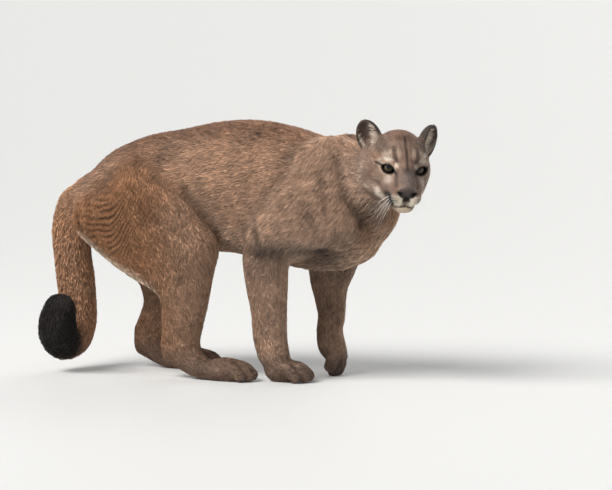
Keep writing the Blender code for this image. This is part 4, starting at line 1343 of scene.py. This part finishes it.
def strand(path, radius, sides=5, steps=9):
    """A thin tapered tube along a smooth curve through a few points."""
    rows = spline([(*p, 0, 0) for p in path], steps)[:, :3]
    rings, tris = [], []
    along = np.gradient(rows, axis=0)
    along /= np.linalg.norm(along, axis=1, keepdims=True)
    across = np.cross(along, (0.3, 0.2, 0.93))
    across /= np.linalg.norm(across, axis=1, keepdims=True)
    other = np.cross(along, across)
    angle = 2 * math.pi * np.arange(sides) / sides
    count = len(rows)
    for i in range(count - 1):
        r = radius * (1 - 0.93 * i / (count - 1))
        rings.append(rows[i] + r * (np.cos(angle)[:, None] * across[i] + np.sin(angle)[:, None] * other[i]))
    points = np.vstack([*rings, rows[-1:], rows[:1]])
    tip, root = len(points) - 2, len(points) - 1
    for i in range(count - 2):
        for j in range(sides):
            a, b = i * sides + j, i * sides + (j + 1) % sides
            tris += [(a, b, b + sides), (a, b + sides, a + sides)]
    last = (count - 2) * sides
    for j in range(sides):
        tris += [(last + j, last + (j + 1) % sides, tip), ((j + 1) % sides, j, root)]
    return points, np.array(tris)


def joined(shapes):
    """Many shapes as one."""
    points, tris, start = [], [], 0
    for p, t in shapes:
        points.append(p)
        tris.append(t + start)
        start += len(p)
    return np.vstack(points), np.vstack(tris)


def on_surface(q, toward):
    """Where lines from inside meet the skin, in head millimetres."""
    q = np.array(q, float)
    way = np.asarray(toward, float) / np.linalg.norm(toward)
    low, high = np.full(len(q), -10.0), np.full(len(q), 40.0)
    for _ in range(16):
        middle = (low + high) / 2
        inside = skin(from_head(q + way * middle[:, None])) < 0
        low, high = np.where(inside, middle, low), np.where(inside, high, middle)
    return q + way * low[:, None]


WHISKER_RADIUS, BROW_RADIUS, EAR_HAIR_RADIUS = 0.00027, 0.00030, 0.00042
EAR_HAIRS = 400
WHISKER_SHARE = 0.85  # of the lengths below
WHISKERS = [  # row z, place x, length and droop of each, mm
    (-67, 40, 62, 10), (-67, 32, 88, 16), (-67, 24, 100, 22),
    (-72, 44, 66, 20), (-72, 36, 96, 28), (-72, 28, 116, 36), (-72, 20, 108, 44),
    (-77, 42, 70, 34), (-77, 34, 104, 46), (-77, 26, 122, 56), (-77, 18, 112, 66),
    (-82, 38, 60, 48), (-82, 30, 84, 62), (-82, 22, 92, 74),
]


def whiskers(side):
    """Strands that leave the muzzle backwards and sag. Those of the near side hang more."""
    draw = np.random.default_rng(SEEDS["whiskers"] + side)
    shapes = []
    roots = on_surface([(x, side * 20.0, z) for z, x, _, _ in WHISKERS], (0.0, side, 0.0))
    for root, (z, x, length, droop) in zip(roots, WHISKERS):
        back = 0.45 + 0.10 * draw.normal() + (50 - x) * 0.010
        fall = 0.35 + droop * 0.016 if side < 0 else 0.05 + droop * 0.006
        out = np.array([-back, side * 0.62 * (1 - droop / 110), -fall])
        out /= np.linalg.norm(out)
        sag = np.array([-0.20, 0, -0.5]) * (0.20 + 0.05 * draw.normal())
        length = length * WHISKER_SHARE
        points = [root - out * 3, root + out * length * 0.35, root + (out * 0.7 + sag * 0.5) * length,
                  root + (out + sag * 1.2) * length * 0.98]
        shapes.append(strand(from_head(points), WHISKER_RADIUS))
    return shapes


BROW_HAIRS = [(6, 44, 26, 30), (0, 50, 27, 34), (10, 38, 26, 26), (-26, 74, 0, 28)]  # x, y, z, length


def brow_hairs(side):
    shapes = []
    roots = on_surface([(x - 20, side * y, z - 4) for x, y, z, _ in BROW_HAIRS], (1.0, 0.0, 0.35))
    for root, (x, y, z, length) in zip(roots, BROW_HAIRS):
        points = [root, root + (length * 0.16, side * length * 0.22, length * 0.40),
                  root + (-length * 0.05, side * length * 0.50, length * 0.75)]
        shapes.append(strand(from_head(points), BROW_RADIUS))
    return shapes


# Eyes

PUPIL, IRIS, CORNEA = 5.0, 12.8, 13.6  # radii of the eye's rings, mm
BULGE = 1.1
EYE_SINK = 0.3  # how far the eyeball lies inside its solid, mm
GAZE_YAW, GAZE_PITCH = -10, -12
EYE_ROWS, EYE_TURNS = 60, 96
IRIS_BASE, IRIS_RING, IRIS_EDGE = colour(56, 47, 38), colour(100, 84, 62), colour(60, 58, 52)


def eye_form():
    """Corners of a ball that looks along X with a bulging front: rings, then the front and rear ends."""
    angle = np.linspace(0, math.pi, EYE_ROWS + 1)[1:-1] ** 1.35 / math.pi**0.35
    around = 2 * math.pi * np.arange(EYE_TURNS) / EYE_TURNS
    reach = (EYE_RADIUS - EYE_SINK) * np.sin(angle)
    bulge = BULGE * (1 - ramp(reach, 0, CORNEA)) * (angle < math.pi / 2)
    radius = EYE_RADIUS - EYE_SINK + bulge
    ring = np.stack([np.cos(angle)[:, None] + 0 * around, np.sin(angle)[:, None] * np.cos(around),
                     np.sin(angle)[:, None] * np.sin(around)], -1) * radius[:, None, None]
    return np.vstack([ring.reshape(-1, 3), [(EYE_RADIUS + 0.8, 0, 0), (EYE_SINK - EYE_RADIUS, 0, 0)]])


def eye_faces():
    tris = []
    for i in range(EYE_ROWS - 2):
        for j in range(EYE_TURNS):
            a, b = i * EYE_TURNS + j, i * EYE_TURNS + (j + 1) % EYE_TURNS
            tris += [(a, b + EYE_TURNS, b), (a, a + EYE_TURNS, b + EYE_TURNS)]
    last = (EYE_ROWS - 2) * EYE_TURNS
    front = last + EYE_TURNS
    rear = front + 1
    for j in range(EYE_TURNS):
        tris += [(front, j, (j + 1) % EYE_TURNS), (last + j, rear, last + (j + 1) % EYE_TURNS)]
    return np.array(tris)


def eye_colour(local, draw):
    """Rings about the gaze: pupil, fibrous iris and its dark edge, with painted shade of the upper lid across
    the top.
    """
    far = np.hypot(local[:, 1], local[:, 2])
    turned = np.arctan2(local[:, 2], local[:, 1])
    fibre = sum(np.sin(turned * k + draw.uniform(0, 6.3)) / math.sqrt(k) for k in (23, 37, 51, 74)) * 0.25
    c = np.tile(IRIS_BASE, (len(local), 1)) * (1 + 0.45 * fibre)[:, None]
    c = mixed(c, IRIS_RING, ramp(-np.abs(far - 7.4 - 0.9 * fibre), -2.6, -0.2) * 0.55)
    c = mixed(c, IRIS_EDGE, ramp(far, 8.6, 11.4) * 0.8)
    # Painted shade of the upper lid on the top of the iris
    c *= (1 - 0.55 * ramp(local[:, 2], -1, 8))[:, None]
    c = mixed(c, BLACK, ramp(far, IRIS - 1.6, IRIS + 0.2))
    c = mixed(c, BLACK * 0.4, ramp(-far, -PUPIL - 0.5, -PUPIL + 0.3))
    c[local[:, 0] < 2] = BLACK
    return c


def eye_piece(name, side, material):
    local = eye_form()
    c = eye_colour(local, np.random.default_rng(SEEDS["eyes"] + side))
    q = local @ turn_of(yaw=GAZE_YAW, pitch=GAZE_PITCH).T + EYE * (1, side, 1)
    mesh = fast_mesh(name, from_head(q) + SHIFT, eye_faces(), np.hstack([c, np.ones((len(c), 1))]))
    replaced = "eye_left" if side > 0 else "eye_right"
    add_object(name, mesh, material, replaced=(replaced,), slot="eye")


# Hair inside the ears

def ear_hair(side):
    """Pale hair that stands across the opening from the ear's inner edge and its floor."""
    draw = np.random.default_rng(SEEDS["ears"] + side)
    yaw, roll = EAR_POSES[side]
    turn = turn_of(yaw=yaw) @ turn_of(roll=roll)
    shapes = []
    for _ in range(EAR_HAIRS):
        up = draw.uniform(-14, 52) if draw.uniform(0, 1) < 0.4 else draw.uniform(-14, 26)
        inner = draw.uniform(0, 1) < 0.72
        wide = 27.5 * math.sqrt(max(0.05, 1 - ((up - 27) / 46) ** 2))
        across = -wide * draw.uniform(0.80, 1.0) if inner else wide * draw.uniform(0.86, 1.0)
        root = np.array([draw.uniform(-2, 9), across, up])
        length = draw.uniform(13, 27) * (1.0 if inner else 0.55) * (1 - 0.3 * (up > 38))
        lean = np.array([draw.uniform(0.05, 0.5), -np.sign(across) * draw.uniform(0.5, 1.0),
                         draw.uniform(0.25, 0.9)])
        lean /= np.linalg.norm(lean)
        path = [root, root + lean * length * 0.5 + (0.8, 0, 0.6), root + lean * length + (0.4, 0, 2.0)]
        local = np.array(path) @ turn.T + EAR_AT
        shapes.append(strand(from_head(local * (1, side, 1)), EAR_HAIR_RADIUS, sides=3, steps=2))
    return shapes


# Materials

def set_inputs(node, values):
    for name, value in values.items():
        node.inputs[name].default_value = value


def add_node(tree, kind, **values):
    """A node with the named inputs set. An underscore stands for a space."""
    node = tree.nodes.new(kind)
    set_inputs(node, {name.replace("_", " "): value for name, value in values.items()})
    return node


def base_material(name, roughness, specular=0.5):
    made = bpy.data.materials.new(name)
    made.use_nodes = True
    shader = made.node_tree.nodes["Principled BSDF"]
    set_inputs(shader, {"Roughness": roughness, "Specular IOR Level": specular})
    return made, shader


def painted_material(name, roughness, specular):
    """Takes its colour from the points of the mesh."""
    made, shader = base_material(name, roughness, specular)
    tone = add_node(made.node_tree, "ShaderNodeVertexColor")
    tone.layer_name = "coat"
    made.node_tree.links.new(tone.outputs["Color"], shader.inputs["Base Color"])
    return made, shader, tone


def coat_material():
    made, shader, _ = painted_material("coat_hair", 0.62, 0.28)
    set_inputs(shader, {"Sheen Weight": 0.08, "Sheen Roughness": 0.4})
    return made


def ranged(tree, source, low, high):
    """The source's 0 to 1 as low to high."""
    node = add_node(tree, "ShaderNodeMapRange", To_Min=low, To_Max=high)
    tree.links.new(source, node.inputs["Value"])
    return node.outputs["Result"]


def skin_material():
    """Short under-hair, and bare damp leather where the mask in the colour's alpha says so."""
    made, shader, tone = painted_material("skin", 0.7, 0.35)
    tree = made.node_tree
    join = tree.links.new
    place = add_node(tree, "ShaderNodeTexCoord")
    fine = add_node(tree, "ShaderNodeTexNoise", Scale=420, Detail=3)
    cells = add_node(tree, "ShaderNodeTexVoronoi", Scale=900)
    for grain in (fine, cells):
        join(place.outputs["Object"], grain.inputs["Vector"])
    shaded = add_node(tree, "ShaderNodeVectorMath")
    shaded.operation = "SCALE"
    join(tone.outputs["Color"], shaded.inputs[0])
    join(ranged(tree, fine.outputs["Fac"], 0.72, 1.10), shaded.inputs["Scale"])
    join(shaded.outputs["Vector"], shader.inputs["Base Color"])
    blend = add_node(tree, "ShaderNodeMix")
    join(tone.outputs["Alpha"], blend.inputs["Factor"])
    join(fine.outputs["Fac"], blend.inputs[2])
    join(cells.outputs["Distance"], blend.inputs[3])
    bump = add_node(tree, "ShaderNodeBump", Distance=0.0006, Strength=0.6)
    join(blend.outputs[0], bump.inputs["Height"])
    join(bump.outputs["Normal"], shader.inputs["Normal"])
    join(ranged(tree, tone.outputs["Alpha"], 0.75, 0.34), shader.inputs["Roughness"])
    return made


def eye_material():
    """A dull ball under a clear wet coat."""
    made, shader, _ = painted_material("eye", 0.18, 0.05)
    set_inputs(shader, {"Coat Weight": 0.6, "Coat Roughness": 0.02})
    return made


def plain_material(name, tone, roughness):
    made, shader = base_material(name, roughness)
    set_inputs(shader, {"Base Color": (*tone, 1)})
    return made


# Floor, light and camera

CHEST = np.array([0.0, 0.0, 0.35])
VIEW_AZIMUTH, VIEW_ELEVATION, VIEW_DISTANCE = 22.0, 5.0, 9.0
METRES_PER_PIXEL = 0.00265
PHOTO_SIZE = (612, 490)
CHEST_PIXEL = (215.0, 242.5)
SENSOR = 36.0
KEY = (3.4, 34, (0.42, 0.72, -0.85))  # strength, spread in degrees and direction of a broad lamp far away
RIM = (1.1, 50, (-0.20, -0.92, -0.36))
SKY_FROM, SKY_TO = (0.05, 0.95), (0.30, 0.42)  # height of a direction, and how bright the sky is there
SKY_TONE = (0.95, 0.97, 1.0, 1)
KEY_TONE, WINDOW_TONE = (1.0, 0.98, 0.95), (1.0, 1.0, 1.0)
WINDOW = ((-2.4, -1.76, 2.78), (0.3, -0.1, 0.5), 1.0, 40)  # at, target, size and power of the nearest lamp
FLOOR_TONE = (0.64, 0.64, 0.63)
FLOOR_RADIUS, FLOOR_DROP = 90, 0.0005  # the floor lies a hair under the feet


def sight():
    """The camera's directions to the right, up and back."""
    a, e = math.radians(VIEW_AZIMUTH), math.radians(VIEW_ELEVATION)
    back = np.array([math.sin(a) * math.cos(e), -math.cos(a) * math.cos(e), math.sin(e)])
    right = np.array([math.cos(a), math.sin(a), 0.0])
    return right, np.cross(back, right), back


def camera():
    """Sees the animal as the photo does."""
    right, up, back = sight()
    across = (PHOTO_SIZE[0] / 2 - CHEST_PIXEL[0]) * METRES_PER_PIXEL
    down = (PHOTO_SIZE[1] / 2 - CHEST_PIXEL[1]) * METRES_PER_PIXEL
    at = CHEST + SHIFT + back * VIEW_DISTANCE
    target = CHEST + SHIFT + right * across - up * down
    data = bpy.data.cameras.new("camera")
    data.sensor_width = SENSOR
    data.lens = SENSOR * VIEW_DISTANCE / (PHOTO_SIZE[0] * METRES_PER_PIXEL)
    data.clip_end = 200
    bpy.context.scene.camera = placed("camera", data, target - at, at)


def placed(name, data, toward, at=(0, 0, 0)):
    obj = bpy.data.objects.new(name, data)
    obj.location = at
    obj.rotation_euler = Vector(toward).to_track_quat("-Z", "Y").to_euler()
    bpy.context.collection.objects.link(obj)
    return obj


def lamp(name, at, target, size, power):
    data = bpy.data.lights.new(name, "AREA")
    data.shape = "DISK"
    data.size = size
    data.energy = power
    data.color = WINDOW_TONE
    placed(name, data, Vector(target) - Vector(at), at)


def sun(name, strength, spread, toward):
    data = bpy.data.lights.new(name, "SUN")
    data.angle = math.radians(spread)
    data.energy = strength
    data.color = KEY_TONE
    placed(name, data, toward)


def sky():
    """A pale surround that is brighter near the horizon."""
    world = bpy.data.worlds.new("studio")
    world.use_nodes = True
    tree = world.node_tree
    background = tree.nodes["Background"]
    set_inputs(background, {"Color": SKY_TONE})
    place = add_node(tree, "ShaderNodeTexCoord")
    split = add_node(tree, "ShaderNodeSeparateXYZ")
    fade = add_node(tree, "ShaderNodeMapRange", From_Min=SKY_FROM[0], To_Min=SKY_FROM[1],
                    From_Max=SKY_TO[0], To_Max=SKY_TO[1])
    tree.links.new(place.outputs["Generated"], split.inputs["Vector"])
    tree.links.new(split.outputs["Z"], fade.inputs["Value"])
    tree.links.new(fade.outputs["Result"], background.inputs["Strength"])
    bpy.context.scene.world = world


def studio():
    """Lights, surround and a floor so wide that its edge doesn't show."""
    bpy.context.scene.view_settings.view_transform = "Standard"
    sun("key", *KEY)
    sun("rim", *RIM)
    lamp("window", *WINDOW)
    sky()
    bm = bmesh.new()
    bmesh.ops.create_circle(bm, cap_ends=True, segments=96, radius=FLOOR_RADIUS)
    mesh = bpy.data.meshes.new("floor")
    bm.to_mesh(mesh)
    bm.free()
    mesh.materials.append(plain_material("floor", FLOOR_TONE, 0.6))
    obj = bpy.data.objects.new("floor", mesh)
    obj.location.z = -FLOOR_DROP
    bpy.context.collection.objects.link(obj)


# The whole

FLESH = [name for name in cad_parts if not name.startswith("eye")]
SKIN_PAINTED_SHADE, BARE_TONE = 0.80, 0.25  # painted shade of the coat on the skin under it, and how much lighter the skin is where bare


def vertex_normals(points):
    """The slope of the skin's distance, which is smoother than the mesh."""
    slope = differences(skin, points, SLOPE_STEP)
    return slope / np.maximum(np.linalg.norm(slope, axis=1, keepdims=True), 1e-12)


def add_skin(points, tris, normals):
    # The skin is darkened as painted shade under the coat, and lighter where bare
    tone = coat_colour(points, normals, shares(points)) * SKIN_PAINTED_SHADE
    mask = bare_mask(points)
    tone = tone * (1 + BARE_TONE * mask[:, None])
    mesh = fast_mesh("skin", points + SHIFT, tris, np.hstack([tone, mask[:, None]]))
    add_object("skin", mesh, skin_material(), replaced=FLESH, slot="coat")


def add_strands(name, shapes, material, slot):
    points, tris = joined(shapes)
    mesh = fast_mesh(name, points + SHIFT, tris, np.ones((len(points), 4)))
    add_object(name, mesh, material, slot=slot)


def main():
    camera()
    studio()
    points, tris = skin_mesh()
    normals = vertex_normals(points)
    add_skin(points, tris, normals)
    coat_pieces(grown_tufts(points, tris, normals), coat_material())
    wet = eye_material()
    eye_piece("eyeball_left", 1, wet)
    eye_piece("eyeball_right", -1, wet)
    white = plain_material("whisker", WHISKER, 0.4)
    for side, name in ((1, "left"), (-1, "right")):
        add_strands("whiskers_" + name, whiskers(side) + brow_hairs(side), white, "head_fur")
        hair = plain_material("ear_hair_" + name, EAR_HAIR, 0.6)
        add_strands("ear_hair_" + name, ear_hair(side), hair, "ear_fur")


main()
